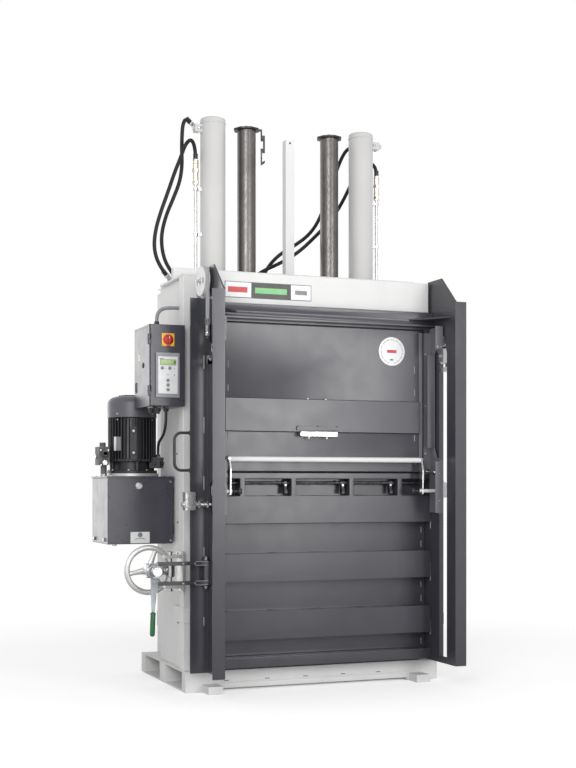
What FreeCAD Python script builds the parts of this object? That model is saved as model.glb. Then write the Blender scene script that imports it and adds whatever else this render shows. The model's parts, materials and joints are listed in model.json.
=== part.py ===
import FreeCAD
import Part
import math
import os
import re
import Sketcher

# Vertical recycling baler with two press cylinders.
# Millimetres. The origin is on the floor under the middle of the base,
# +X is to the right of a person facing the doors, the doors face -Y, +Z is up.

os.makedirs("parts", exist_ok=True)
doc = FreeCAD.newDocument("recycling_baler")
sheet = doc.addObject("Spreadsheet::Sheet", "Sizes")

# name, value, what it is
SIZES = [
    ("base_d", 840, "depth of the base, front to back"),
    ("base_h", 106, "height of the base"),
    ("base_sheet", 8, "sheet above and below the fork pockets"),
    ("fork_w", 300, "width of one fork pocket"),
    ("fork_y", 203, "fork pocket centre from the machine centre"),
    ("apron_lift", 14, "how far the apron stands off the floor"),
    ("apron_deep", 60, "depth of the raised apron"),
    ("foot_w", 78, "width of a front foot"),
    ("foot_inset", 129, "front foot inside the base end"),
    ("apron_gap", 13, "gap between foot and raised apron"),
    ("foot_h", 40, "height of a front foot"),
    ("foot_out", 95, "how far a front foot stands out"),
    ("chamber_half", 600, "half width of the press chamber"),
    ("side_room", 101, "side frame outside the chamber"),
    ("door_lap", 15, "how far the bale door laps the chamber"),
    ("channel_depth", 40, "depth of the side channel floor outside the chamber"),
    ("cheek_depth", 76, "depth of the side cheek outside the chamber"),
    ("liner_t", 8, "thickness of the chamber liner"),
    ("liner_front", 425, "front edge of the liner, in front of centre"),
    ("post_front", 382, "front face of the corner posts"),
    ("post_back", 307, "back face of the corner posts"),
    ("channel_back", 223, "back edge of the side channel"),
    ("cheek_back", 120, "back edge of the side cheek"),
    ("wall_t", 8, "wall of the folded side sections"),
    ("frame_top", 2083, "top of the side frames"),
    ("rear_in", 400, "inner face of the rear wall"),
    ("rear_t", 6, "rear wall sheet"),
    ("rear_rib_h", 90, "height of one rear stiffener"),
    ("rear_rib_pitch", 470, "spacing of the rear stiffeners"),
    ("rear_rib_low", 250, "lowest rear stiffener"),
    ("top_t", 12, "top plate thickness"),
    ("crown_step", 45, "where the top plate narrows, behind centre"),
    ("beam_gap", 9, "gap between front beam and side plate"),
    ("beam_front", 505, "front face of the front beam"),
    ("beam_low", 1941, "underside of the front beam"),
    ("beam_wall", 8, "wall of the front beam"),
    ("plate_left", 524, "left end of the name plate"),
    ("plate_right", 61, "right end of the name plate"),
    ("plate_low", 1968, "lower edge of the name plate"),
    ("plate_high", 2048, "upper edge of the name plate"),
    ("plate_t", 2, "thickness of the name plate"),
    ("ram_x", 431, "cylinder axis from the machine centre"),
    ("ram_y", 29, "cylinder and column plane in front of centre"),
    ("ram_r", 67, "outer radius of a cylinder"),
    ("ram_bore_r", 55, "bore radius of a cylinder"),
    ("ram_top", 2980, "top of a cylinder"),
    ("ram_cap", 30, "thickness of the cylinder top"),
    ("ram_gland", 45, "height of the rod gland"),
    ("ram_flange_r", 98, "radius of the cylinder foot flange"),
    ("ram_flange_t", 25, "thickness of the cylinder foot flange"),
    ("ram_edge", 9, "rounding of the cylinder top"),
    ("rod_r", 35, "piston rod radius"),
    ("piston_t", 50, "piston thickness"),
    ("piston_top", 2948, "top of the piston with the platen raised"),
    ("run_fit", 0.05, "radial clearance of a sliding fit"),
    ("column_x", 241, "guide column axis from the machine centre"),
    ("column_r", 50, "guide column radius"),
    ("column_top", 2935, "top of a guide column"),
    ("cap_r", 72, "corner radius of the column cap"),
    ("cap_t", 9, "thickness of the column cap"),
    ("bush_r", 78, "outer radius of a guide bush"),
    ("bush_h", 55, "height of a guide bush above the top plate"),
    ("mast_half", 25, "half width of the switch mast"),
    ("mast_top", 2904, "top of the switch mast"),
    ("mast_wall", 4, "wall of the switch mast"),
    ("platen_gap", 10, "gap between platen and chamber"),
    ("platen_front", 415, "platen front from centre"),
    ("platen_back", 388, "platen back from centre"),
    ("platen_low", 1880, "underside of the platen"),
    ("platen_skin", 25, "platen press plate"),
    ("platen_high", 2050, "top of the platen beams"),
    ("platen_beam", 60, "width of a platen beam"),
    ("groove_w", 34, "width of a strapping groove"),
    ("groove_d", 14, "depth of a strapping groove"),
    ("groove_pitch", 230, "spacing of the strapping grooves"),
    ("plate_tk", 8, "door side plate thickness"),
    ("plate_low_z", 115, "lower end of the door side plates"),
    ("plate_peak", 2105, "highest point of the door side plates"),
    ("plate_peak_y", 631, "where the door side plate starts to slope"),
    ("plate_nose", 785, "front edge of the door side plates"),
    ("plate_nose_z", 1966, "top of the front edge"),
    ("plate_rear", 425, "rear edge of the door side plates"),
    ("plate_step_y", 480, "rear edge above the stile"),
    ("stile_top", 1950, "top of the door stile"),
    ("stile_w", 57, "width of the door stile"),
    ("strip_lap", 33, "how far the lock strip stands past the stile"),
    ("flange_w", 55, "width of the front flange"),
    ("flange_t", 6, "thickness of the front flange"),
    ("slot_front", 691, "front edge of the guide slot"),
    ("slot_back", 610, "back edge of the guide slot"),
    ("slot_low", 150, "lower end of the guide slot"),
    ("slot_high", 1700, "where the guide slot starts to bend"),
    ("slot_bend_y", 553, "rear end of the bent slot"),
    ("slot_bend_low", 1738, "lower edge of the bent slot"),
    ("slot_bend_high", 1819, "upper edge of the bent slot"),
    ("window_y", 561, "rear edge of the roller window"),
    ("window_low", 881, "lower end of the roller window"),
    ("window_high", 1063, "upper end of the roller window"),
    ("window_cut", 32, "corner cut of the roller window"),
    ("stile_front", 535, "front face of the door stile"),
    ("stile_t", 4, "wall of the door stile"),
    ("strip_t", 6, "thickness of the lock side strip"),
    ("skin_back", 430, "back of the bale door skin"),
    ("skin_front", 446, "front of the bale door skin"),
    ("rib_front", 516, "front of the bale door ribs"),
    ("rail_low_a", 124, "bottom rail, lower edge"),
    ("rail_low_b", 178, "bottom rail, upper edge"),
    ("rib_first", 263, "lower edge of the lowest rib"),
    ("rib_h", 140, "rib height"),
    ("rib_pitch", 289, "rib spacing"),
    ("pocket_high", 1067, "top of the claw pockets"),
    ("sill_high", 1098, "top of the bale door sill"),
    ("web_half", 13.5, "half width of a pocket web"),
    ("web_x_out", 434, "outer pocket web from centre"),
    ("web_x_in", 160, "inner pocket web from centre"),
    ("top_rail_low", 1860, "underside of the door top rail"),
    ("top_rail_high", 1936, "top of the door top rail"),
    ("top_rail_front", 540, "front of the door top rail"),
    ("top_rail_lip", 12, "height of the lip under the top rail"),
    ("lip_out", 14, "how far the lip stands out"),
    ("gusset_leg", 190, "length of a gusset along the side plate"),
    ("gusset_run", 141, "length of a gusset along the rail"),
    ("gusset_z", 1890, "height of the gussets"),
    ("gusset_t", 8, "gusset thickness"),
    ("hinge_y", 440, "bale door hinge axis in front of centre"),
    ("hinge_pin_r", 10, "hinge pin radius"),
    ("knuckle_r", 20, "hinge knuckle radius"),
    ("hinge_low", 330, "height of the lower hinge"),
    ("hinge_mid", 1030, "height of the middle hinge"),
    ("hinge_high", 1720, "height of the upper hinge"),
    ("loading_low", 1100, "lower edge of the loading door panel"),
    ("loading_high", 1846, "upper edge of the loading door panel"),
    ("loading_back", 520, "back of the loading door panel"),
    ("loading_t", 6, "loading door sheet"),
    ("loading_gap", 57, "gap between loading panel and side plate"),
    ("band_inset", 23, "how far the band stops short of the panel edge"),
    ("band_low", 1303, "lower edge of the raised band"),
    ("band_high", 1468, "upper edge of the raised band"),
    ("band_out", 22, "how far the raised band stands out"),
    ("edge_fold", 16, "depth of the folded edges of the loading panel"),
    ("carriage_t", 8, "carriage plate thickness"),
    ("carriage_gap", 6, "gap between carriage and side plate"),
    ("carriage_flange", 43, "width of the carriage front flange"),
    ("lap_w", 71, "how far the carriage laps the panel"),
    ("tongue_w", 34, "width of the tongue that holds the top roller"),
    ("arm_under", 1734, "underside of the top arm"),
    ("carriage_spine", 574, "front of the carriage spine"),
    ("carriage_front", 662, "front of the carriage arms"),
    ("arm_top_high", 1854, "top arm, upper edge"),
    ("arm_low_a", 892, "bottom arm, lower edge"),
    ("arm_low_b", 1158, "bottom arm, upper edge"),
    ("ear_low", 1672, "lower end of the top roller ear"),
    ("roller_y", 650.5, "roller line in front of centre"),
    ("roller_stand", 4, "how far a roller stands past the side plate"),
    ("slide_gap", 0.1, "running gap of a guide roller in its slot"),
    ("roller_top_z", 1700, "height of the top roller"),
    ("roller_low_z", 1010, "height of the bottom roller"),
    ("axle_r", 8, "roller axle radius"),
    ("handle_x", 44, "handle centre, left of the middle"),
    ("handle_half", 97, "half length of the handle bar"),
    ("handle_low", 1281, "underside of the handle bar"),
    ("handle_front", 572, "front of the handle bar"),
    ("handle_back", 534, "back of the handle bar"),
    ("handle_bolt_x", 49, "handle bolt from the handle centre"),
    ("handle_bolt_r", 4, "radius of a handle bolt"),
    ("handle_bolt_out", 13, "how far a handle bolt stands below the bar"),
    ("shelf_half", 114, "half length of the strip behind the handle"),
    ("shelf_low", 1312, "lower edge of that strip"),
    ("shelf_high", 1330, "upper edge of that strip"),
    ("shelf_t", 8, "thickness of that strip"),
    ("push_inset", 84, "push bar arm inside the carriage face"),
    ("push_y", 584, "push bar pivot in front of centre"),
    ("push_z", 1005, "push bar pivot height"),
    ("push_pin_r", 9, "push bar pivot pin radius"),
    ("push_bar_z", 1164, "height of the push bar"),
    ("push_bar_y", 572, "push bar in front of centre"),
    ("push_bar_r", 13, "push bar radius"),
    ("push_arm_t", 8, "push bar arm thickness"),
    ("push_arm_w", 32, "push bar arm width"),
    ("pulley_y", 542, "pulley axis in front of centre"),
    ("pulley_z", 2032, "pulley axis height"),
    ("pulley_r", 70, "pulley radius under the belt"),
    ("pulley_rim", 74, "pulley rim radius"),
    ("pulley_gap", 11, "gap between side plate and pulley"),
    ("pulley_w", 28, "width of a pulley"),
    ("axle_stand", 8, "how far the axle stands past the pulley"),
    ("belt_inset", 5, "pulley face beside the belt"),
    ("pulley_axle_r", 12, "pulley axle radius"),
    ("belt_t", 3, "belt thickness"),
    ("belt_end_z", 1834, "top of the belt clamp"),
    ("clamp_w", 20, "width of the belt clamp"),
    ("weight_gap", 9, "room beside a counterweight"),
    ("weight_front", 525, "front face of the counterweight"),
    ("weight_back", 435, "back face of the counterweight"),
    ("weight_low", 180, "underside of the counterweight"),
    ("weight_high", 1080, "top of the counterweight"),
    ("pull_y", 538, "pull handle in front of centre"),
    ("pull_low", 1107, "lower leg of the pull handle"),
    ("pull_high", 1290, "upper leg of the pull handle"),
    ("pull_reach", 80, "how far the pull handle stands out"),
    ("pull_r", 7, "radius of the pull handle"),
    ("claw_z", 1046, "height of the claw shaft"),
    ("claw_y", 480, "claw shaft in front of centre"),
    ("claw_shaft_r", 8, "radius of the claw shaft"),
    ("shaft_inset", 10, "chamber edge to the end of the claw shaft"),
    ("claw_left", 196, "left claw from centre"),
    ("claw_mid", 120, "middle claw from centre"),
    ("claw_right", 392, "right claw from centre"),
    ("claw_w", 16, "width of a claw"),
    ("fork_z_high", 655, "upper lock lug"),
    ("fork_z_low", 560, "lower lock lug"),
    ("fork_lug_t", 18, "lock lug thickness"),
    ("fork_past", 20, "how far the lugs reach past the lock screw"),
    ("fork_front", 578, "front of the lock lugs"),
    ("fork_back", 541, "back of the lock lugs"),
    ("fork_bolt_r", 11, "lug bolt radius"),
    ("lock_z", 612, "lock screw height"),
    ("lock_reach", 95, "lock screw from the lock arm pivot"),
    ("screw_r", 15, "lock screw radius"),
    ("screw_front", 500, "front end of the lock screw"),
    ("screw_back", 262, "back end of the lock screw"),
    ("wheel_y", 330, "handwheel plane in front of centre"),
    ("wheel_r", 111, "handwheel rim centre radius"),
    ("wheel_tube_r", 14, "handwheel rim section radius"),
    ("wheel_hub_r", 30, "handwheel hub radius"),
    ("wheel_hub_a", 352, "front of the handwheel hub"),
    ("wheel_hub_b", 300, "back of the handwheel hub"),
    ("spoke_r", 8, "handwheel spoke radius"),
    ("block_a", 414, "front of the screw block"),
    ("block_b", 356, "back of the screw block"),
    ("block_half", 34, "half width of the screw block"),
    ("ratchet_a", 462, "front of the ratchet boss"),
    ("ratchet_b", 416, "back of the ratchet boss"),
    ("ratchet_r", 36, "ratchet boss radius"),
    ("lever_len", 310, "length of the ratchet lever"),
    ("lever_w", 15, "width of the ratchet lever at its grip"),
    ("lever_root", 38, "width of the ratchet lever at its boss"),
    ("lever_t", 12, "thickness of the ratchet lever"),
    ("lever_turn", 2, "how far the lever hangs off plumb"),
    ("grip_len", 108, "length of the lever grip"),
    ("grip_r", 12.5, "radius of the lever grip"),
    ("pivot_y", 385, "lock arm pivot in front of centre"),
    ("pivot_stand", 69, "lock arm pivot outside the side frame"),
    ("bracket_end", 32, "bracket ear past its pivot"),
    ("pivot_r", 11, "lock arm pivot radius"),
    ("pivot_low", 512, "lower end of the lock pivot"),
    ("pivot_high", 700, "upper end of the lock pivot"),
    ("bracket_low_z", 530, "lower ear of the lock bracket"),
    ("bracket_high_z", 680, "upper ear of the lock bracket"),
    ("bracket_ear_t", 16, "thickness of a bracket ear"),
    ("eye_r", 24, "eye radius of the lock arm"),
    ("eye_h", 60, "height of the lock arm eye"),
    ("arm_bar_r", 16, "lock arm bar radius"),
    ("box_front", 415, "front of the control box body"),
    ("box_back", 128, "back of the control box"),
    ("box_low", 1425, "underside of the control box"),
    ("box_high", 1829, "top of the control box"),
    ("box_t", 3, "control box sheet"),
    ("box_stand", 3, "gap between side frame and control box"),
    ("box_w", 180, "width of the control box"),
    ("case_hinge_out", 4, "control door hinge outside the box"),
    ("switch_in", 91, "main switch from the inner side of the box"),
    ("keypad_in", 94, "keypad centre from the inner side of the box"),
    ("case_hinge_y", 424.5, "control door hinge axis in front of centre"),
    ("case_hinge_r", 8, "control door knuckle radius"),
    ("case_hinge_h", 26, "control door knuckle height"),
    ("case_pin_r", 4, "control door pin radius"),
    ("case_hinge_low", 1500, "lower control door hinge"),
    ("case_hinge_high", 1754, "upper control door hinge"),
    ("door_gap", 1.5, "gap behind the control box door"),
    ("door_t", 18, "depth of the control box door"),
    ("switch_z", 1752, "main switch height"),
    ("switch_half", 32, "half size of the switch plate"),
    ("switch_t", 5, "switch plate thickness"),
    ("knob_r", 21, "switch knob radius"),
    ("knob_t", 12, "switch knob disc thickness"),
    ("knob_bar", 9, "switch knob bar width"),
    ("knob_out", 14, "how far the knob bar stands out"),
    ("keypad_z", 1577, "keypad centre height"),
    ("keypad_half_w", 60, "half width of the keypad bezel"),
    ("keypad_half_h", 110, "half height of the keypad bezel"),
    ("keypad_t", 10, "keypad bezel thickness"),
    ("foil_half_w", 50, "half width of the keypad foil"),
    ("foil_half_h", 92, "half height of the keypad foil"),
    ("tank_front", 163, "front of the oil tank"),
    ("tank_back", 182, "back of the oil tank"),
    ("tank_low", 734, "underside of the oil tank"),
    ("tank_high", 1072, "top of the oil tank"),
    ("tank_t", 4, "oil tank sheet"),
    ("tank_stand", 15, "gap between side cheek and tank"),
    ("tank_w", 342, "width of the tank"),
    ("lid_t", 8, "tank lid thickness"),
    ("lid_over", 5, "tank lid overhang"),
    ("motor_y", 10, "motor axis behind centre"),
    ("motor_in", 170, "motor axis from the inner side of the tank"),
    ("flange_r", 137, "motor flange radius"),
    ("flange_h", 30, "motor flange height"),
    ("flange_bright", 15, "height of the bare flange ring"),
    ("flange_step", 7, "how far the upper flange ring stands back"),
    ("boss_r", 13, "flange boss radius"),
    ("boss_at", 106, "flange bosses from the motor axis"),
    ("neck_r", 100, "motor neck radius"),
    ("neck_h", 46, "motor neck height"),
    ("fin_r", 125, "motor fin radius"),
    ("fin_h", 228, "height of the finned motor body"),
    ("core_r", 107, "motor body radius under the fins"),
    ("fin_t", 5, "fin thickness"),
    ("collar_h", 14, "height of the ring under the fins"),
    ("terminal_turn", -32, "how far the terminal box is turned from the side"),
    ("terminal_half", 32, "half width of the terminal box"),
    ("terminal_end", 160, "terminal box end from the motor axis"),
    ("terminal_low", 1122, "underside of the terminal box"),
    ("terminal_high", 1178, "top of the terminal box"),
    ("cowl_r", 128, "fan cowl radius"),
    ("cowl_h", 112, "fan cowl height"),
    ("cowl_edge", 34, "fan cowl rounding"),
    ("valve_front", 62, "front of the valve block"),
    ("valve_back", 34, "back of the valve block"),
    ("valve_h", 152, "height of the valve block"),
    ("valve_over", 19, "how far the valve block stands past the tank"),
    ("valve_w", 54, "width of the valve block"),
    ("port_z", 2922, "height of the cylinder port"),
    ("port_half", 20, "half size of the port block"),
    ("port_reach", 104, "outer end of the port block from the cylinder axis"),
    ("pipe_reach", 96, "pressure pipe from the cylinder axis"),
    ("elbow_run", 10, "length of the elbow inlet"),
    ("pipe_r", 9, "pressure pipe radius"),
    ("pipe_fit_low", 2621, "lower end of the pipe fitting"),
    ("pipe_fit_high", 2753, "upper end of the pipe fitting"),
    ("pipe_fit_r", 15, "pipe fitting radius"),
    ("foot_port_z", 2160, "height of the lower cylinder port"),
    ("hose_r", 10, "hose radius"),
    ("ferrule_r", 13, "hose end radius"),
    ("cable_r", 7, "cable radius"),
    ("conduit_r", 9, "conduit radius"),
    ("hole_gap", 4, "room round a rod in the top plate"),
    ("cross_front", 175, "front of the front cross beam"),
    ("cross_rear", 225, "back of the rear cross beam"),
    ("cross_w", 45, "width of a cross beam"),
    ("cross_top", 2155, "top of the cross beams"),
    ("cross_inset", 11, "cross beam end inside the side frame"),
    ("elbow_drop", 26, "length of the elbow outlet"),
    ("socket_w", 44, "width of a hose socket"),
    ("socket_h", 12, "height of a hose socket"),
    ("platen_rim", 1985, "top of the platen rim beams"),
    ("cam_root", 215, "inner end of the cam arm"),
    ("cam_arm", 8, "height of the cam arm"),
    ("cam_in", 160, "inner edge of the cam strip"),
    ("cam_mid", 152, "step edge of the cam strip"),
    ("cam_out", 136, "outer edge of the cam strip"),
    ("cam_first", 2920, "first step of the cam strip"),
    ("cam_second", 2825, "second step of the cam strip"),
    ("cam_foot", 2756, "foot of the cam strip"),
    ("cam_t", 5, "thickness of the cam strip"),
    ("fold_t", 5, "folded sheet of the doors"),
    ("ear_near", 30, "near face of a hinge ear from its middle"),
    ("ear_far", 84, "far face of a hinge ear from its middle"),
    ("ear_r", 18, "hinge ear radius"),
    ("stop_over", 39, "how far the side stop stands past the lock strip"),
    ("stop_lap", 13, "how far the side stop laps the lock strip"),
    ("stop_front", 590, "front of the side stop block"),
    ("stop_low", 914, "underside of the side stop block"),
    ("stop_high", 1002, "top of the side stop block"),
    ("stop_y", 572, "side stop bolt in front of centre"),
    ("stop_z", 941, "height of the side stop bolt"),
    ("stop_r", 8, "radius of the side stop bolt"),
    ("stop_nut_r", 14, "radius of its nuts"),
    ("stop_nut_h", 10, "height of a nut"),
    ("stop_tip", 3, "gap between the side stop bolt and the carriage"),
    ("pin_half", 92, "half length of a hinge pin"),
    ("knuckle_half", 29, "half height of a door knuckle"),
    ("leaf_deep", 60, "depth of a hinge leaf"),
    ("fork_web", 30, "depth of the lock lug web"),
    ("belt_gap", 0.3, "gap between belt and pulley"),
    ("clamp_bar_z", 1620, "height of the belt clamp bar"),
    ("bracket_t", 12, "thickness of the lock bracket back"),
    ("bracket_foot", 505, "lower end of the lock bracket"),
    ("bracket_head", 705, "upper end of the lock bracket"),
    ("foil_t", 0.6, "thickness of the keypad foil"),
    ("valve_foot", 58, "underside of the valve block above the lid"),
    ("valve_leg_r", 16, "valve block stub radius"),
    ("gland_r", 12, "cable gland radius"),
    ("gland_h", 22, "cable gland length"),
    ("gland_x", 775, "first cable gland from centre"),
    ("gland_step", 40, "spacing of the cable glands"),
    ("gland_y", 330, "cable glands in front of centre"),
    ("top_gland_x", 805, "top gland from centre"),
    ("top_gland_y", 265, "top gland in front of centre"),
    ("top_gland_h", 32, "height of the top gland"),
    ("wall_gland_h", 12, "length of the wall gland"),
    ("wall_gland_z", 1934, "height of the wall gland"),
    ("lead_gland_h", 16, "height of the gland on the terminal box"),
    ("lead_gland_r", 11, "radius of that gland"),
]

# Places that follow from the sizes, so that neighbours keep their gaps when one changes.
PLACES = {
    "base_half": "chamber_half+side_room",
    "channel_in": "chamber_half+channel_depth",
    "cheek_x": "chamber_half+cheek_depth",
    "rear_side_x": "chamber_half+liner_t+rear_t",
    "foot_x": "base_half-foot_inset",
    "apron_half": "foot_x-foot_w/2-apron_gap",
    "cross_half": "base_half-cross_inset",
    "platen_half": "chamber_half-platen_gap",
    "panel_half": "chamber_half+door_lap",
    "beam_half": "panel_half-beam_gap",
    "plate_x": "panel_half+plate_tk",
    "stile_x": "plate_x+stile_w",
    "strip_x": "stile_x+strip_lap",
    "flange_out": "plate_x+flange_w",
    "hinge_x": "stile_x+knuckle_r",
    "pull_x": "strip_x+pull_reach",
    "stop_out": "strip_x+stop_over",
    "stop_in": "strip_x-stop_lap",
    "claw_shaft_half": "chamber_half-shaft_inset",
    "loading_half": "panel_half-loading_gap",
    "band_half": "loading_half-band_inset",
    "carriage_x": "panel_half-carriage_gap",
    "carriage_in": "carriage_x-carriage_flange",
    "carriage_lap": "carriage_x-lap_w",
    "roller_out": "plate_x+roller_stand",
    "push_x": "carriage_x-push_inset",
    "pulley_a": "plate_x+pulley_gap",
    "pulley_b": "pulley_a+pulley_w",
    "pulley_axle_out": "pulley_b+axle_stand",
    "belt_a": "pulley_a+belt_inset",
    "belt_b": "pulley_b-belt_inset",
    "weight_a": "plate_x+weight_gap",
    "weight_b": "stile_x-weight_gap",
    "pivot_x": "base_half+pivot_stand",
    "bracket_out": "pivot_x+bracket_end",
    "lock_x": "pivot_x+lock_reach",
    "fork_end": "lock_x+fork_past",
    "box_right": "base_half+box_stand",
    "box_left": "box_right+box_w",
    "case_hinge_x": "box_left+case_hinge_out",
    "switch_x": "box_right+switch_in",
    "keypad_x": "box_right+keypad_in",
    "tank_right": "cheek_x+tank_stand",
    "tank_left": "tank_right+tank_w",
    "motor_x": "tank_right+motor_in",
    "valve_left": "tank_left+valve_over",
    "valve_right": "valve_left-valve_w",
    "port_out": "ram_x+port_reach",
    "elbow_x": "port_out+elbow_run",
    "pipe_x": "ram_x+pipe_reach",
}

for row, (name, value, note) in enumerate(SIZES, start=1):
    sheet.set("A%d" % row, str(value))
    sheet.setAlias("A%d" % row, name)
    sheet.set("B%d" % row, note)
doc.recompute()

NAMES = {entry[0] for entry in SIZES}
VALUE = {entry[0]: float(entry[1]) for entry in SIZES}
NODES = []


def bound(text):
    """Expression text with places spelt out and every size name pointed at the sheet."""

    def swap(found):
        word = found.group(0)
        if word in PLACES:
            return "(%s)" % bound(PLACES[word])
        if word in NAMES:
            return "Sizes." + word
        return word

    return re.sub(r"[a-z][a-z_0-9]*", swap, str(text))


def place(item, x, y, z):
    """Binds the position of an object."""
    item.setExpression("Placement.Base.x", bound(x))
    item.setExpression("Placement.Base.y", bound(y))
    item.setExpression("Placement.Base.z", bound(z))


def box(x_low, x_high, y_low, y_high, z_low, z_high):
    """A block between six planes."""
    item = doc.addObject("Part::Box", "Block")
    item.setExpression("Length", bound("(%s) - (%s)" % (x_high, x_low)))
    item.setExpression("Width", bound("(%s) - (%s)" % (y_high, y_low)))
    item.setExpression("Height", bound("(%s) - (%s)" % (z_high, z_low)))
    place(item, x_low, y_low, z_low)
    return item


TURN = {
    "x": FreeCAD.Rotation(FreeCAD.Vector(0, 1, 0), 90),
    "y": FreeCAD.Rotation(FreeCAD.Vector(1, 0, 0), -90),
    "z": FreeCAD.Rotation(),
}


def rod(axis, radius, low, high, first, second):
    """A cylinder along an axis between low and high; first and second place its axis."""
    item = doc.addObject("Part::Cylinder", "Rod")
    item.Placement = FreeCAD.Placement(FreeCAD.Vector(), TURN[axis])
    item.setExpression("Radius", bound(radius))
    item.setExpression("Height", bound("(%s) - (%s)" % (high, low)))
    if axis == "x":
        place(item, low, first, second)
    elif axis == "y":
        place(item, first, low, second)
    else:
        place(item, first, second, low)
    return item


def ring(axis, radius, section, x, y, z):
    """A torus about an axis."""
    item = doc.addObject("Part::Torus", "Ring")
    item.Placement = FreeCAD.Placement(FreeCAD.Vector(), TURN[axis])
    item.setExpression("Radius1", bound(radius))
    item.setExpression("Radius2", bound(section))
    place(item, x, y, z)
    return item


def ball(radius, x, y, z):
    """A sphere."""
    item = doc.addObject("Part::Sphere", "Ball")
    item.setExpression("Radius", bound(radius))
    place(item, x, y, z)
    return item


def origin_plane(body, role):
    """One of the body's own origin planes."""
    for feature in body.Origin.OriginFeatures:
        if feature.Role == role:
            return feature
    raise RuntimeError("no plane " + role)


def add_loop(sketch, points):
    """A closed outline of straight lines, each corner bound to its own place."""
    first = sketch.GeometryCount
    count = len(points)
    spots = [
        FreeCAD.Vector(sheet_value(point[0]), sheet_value(point[1]), 0)
        for point in points
    ]
    for index in range(count):
        sketch.addGeometry(Part.LineSegment(spots[index], spots[(index + 1) % count]), False)
    for index in range(count):
        after = (index + 1) % count
        sketch.addConstraint(
            Sketcher.Constraint("Coincident", first + index, 2, first + after, 1)
        )
    for index in range(count):
        for kind, number in (("DistanceX", 0), ("DistanceY", 1)):
            value = spots[index][number]
            key = sketch.addConstraint(
                Sketcher.Constraint(kind, -1, 1, first + index, 1, value)
            )
            sketch.setExpression("Constraints[%d]" % key, bound(points[index][number]))


def sheet_value(text):
    """The number that an expression of size names stands for."""
    total = 0.0
    for sign, term in re.findall(r"([+-]?)\s*([^+-]+)", str(text)):
        product = 1.0
        for step, factor in re.findall(r"([*/]?)\s*([a-z_0-9.]+)", term):
            if factor in PLACES:
                number = sheet_value(PLACES[factor])
            elif factor in VALUE:
                number = VALUE[factor]
            else:
                number = float(factor)
            product = product / number if step == "/" else product * number
        total += -product if sign == "-" else product
    return total


def profile(plane, start, end, loops, name="Profile"):
    """A body whose outline lies in a plane and is padded from start to end."""
    body = doc.addObject("PartDesign::Body", name)
    sketch = body.newObject("Sketcher::SketchObject", name + "Outline")
    sketch.AttachmentSupport = [(origin_plane(body, plane + "_Plane"), "")]
    sketch.MapMode = "FlatFace"
    offset = start
    if plane == "XZ":
        offset = "-(%s)" % end
    sketch.setExpression("AttachmentOffset.Base.z", bound(offset))
    for points in loops:
        add_loop(sketch, points)
    pad = body.newObject("PartDesign::Pad", name + "Pad")
    pad.Profile = sketch
    pad.setExpression("Length", bound("(%s) - (%s)" % (end, start)))
    body.Tip = pad
    return body


def lathe(points, x, y, z, axis="z", name="Turned"):
    """A body turned about an axis from an outline of radius and height."""
    body = doc.addObject("PartDesign::Body", name)
    sketch = body.newObject("Sketcher::SketchObject", name + "Outline")
    sketch.AttachmentSupport = [(origin_plane(body, "XZ_Plane"), "")]
    sketch.MapMode = "FlatFace"
    add_loop(sketch, points)
    turn = body.newObject("PartDesign::Revolution", name + "Turn")
    turn.Profile = sketch
    turn.ReferenceAxis = (sketch, ["V_Axis"])
    turn.Angle = 360
    body.Tip = turn
    body.Placement = FreeCAD.Placement(FreeCAD.Vector(), TURN[axis])
    place(body, x, y, z)
    return body


def fuse(items, name="Joined"):
    """Several pieces joined into one."""
    joined = doc.addObject("Part::MultiFuse", name)
    joined.Shapes = items
    joined.Refine = True
    return joined


def cut(base, tools, name="Trimmed"):
    """A piece with others taken out of it."""
    if len(tools) > 1:
        tool = fuse(tools)
    else:
        tool = tools[0]
    trimmed = doc.addObject("Part::Cut", name)
    trimmed.Base = base
    trimmed.Tool = tool
    trimmed.Refine = True
    return trimmed


def across(side, low, high):
    """Ends of a span on the left (-1) or on the right (1) of the machine."""
    if side < 0:
        return "-(%s)" % high, "-(%s)" % low
    return low, high


def mirrored(item, name="Mirror"):
    """The same piece on the other side of the middle plane."""
    copy = doc.addObject("Part::Mirroring", name)
    copy.Source = item
    copy.Normal = FreeCAD.Vector(1, 0, 0)
    copy.Base = FreeCAD.Vector(0, 0, 0)
    return copy


def node(label, item):
    """Names a finished piece and lists it for writing."""
    item.Label = label
    NODES.append(item)
    return item


def rounded_path(points):
    """Straight runs joined by tangent arcs, and the radii of the arcs."""
    spots = [FreeCAD.Vector(*point) for point in points]
    edges = []
    radii = []
    here = spots[0]
    for index in range(1, len(spots) - 1):
        before = spots[index] - spots[index - 1]
        after = spots[index + 1] - spots[index]
        turn = before.getAngle(after)
        shorter = min(before.Length, after.Length)
        reach = 0.45 * shorter
        radius = reach / math.tan(turn / 2)
        radii.append(radius)
        before.normalize()
        after.normalize()
        start = spots[index] - before * reach
        end = spots[index] + after * reach
        inward = after - before
        inward.normalize()
        middle = spots[index] + inward * (radius / math.cos(turn / 2) - radius)
        edges.append(Part.makeLine(here, start))
        edges.append(Part.Arc(start, middle, end).toShape())
        here = end
    edges.append(Part.makeLine(here, spots[-1]))
    return Part.Wire(edges), radii


def tube_along(points, radius_name, name="Tube"):
    """A round tube that follows a route."""
    wire, radii = rounded_path(points)
    print("%s: bends of %s mm" % (name, ", ".join("%.0f" % size for size in radii)))
    start = FreeCAD.Vector(*points[0])
    heading = FreeCAD.Vector(*points[1]) - start
    radius = VALUE[radius_name]
    circle = Part.Wire([Part.makeCircle(radius, start, heading)])
    solid = wire.makePipeShell([circle], True, True)
    expected = math.pi * radius * radius * wire.Length
    if abs(solid.Volume - expected) > 0.01 * expected:
        raise RuntimeError("tube volume is wrong: " + name)
    item = doc.addObject("Part::Feature", name)
    item.Shape = solid
    item.Placement = FreeCAD.Placement()
    return item


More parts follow.
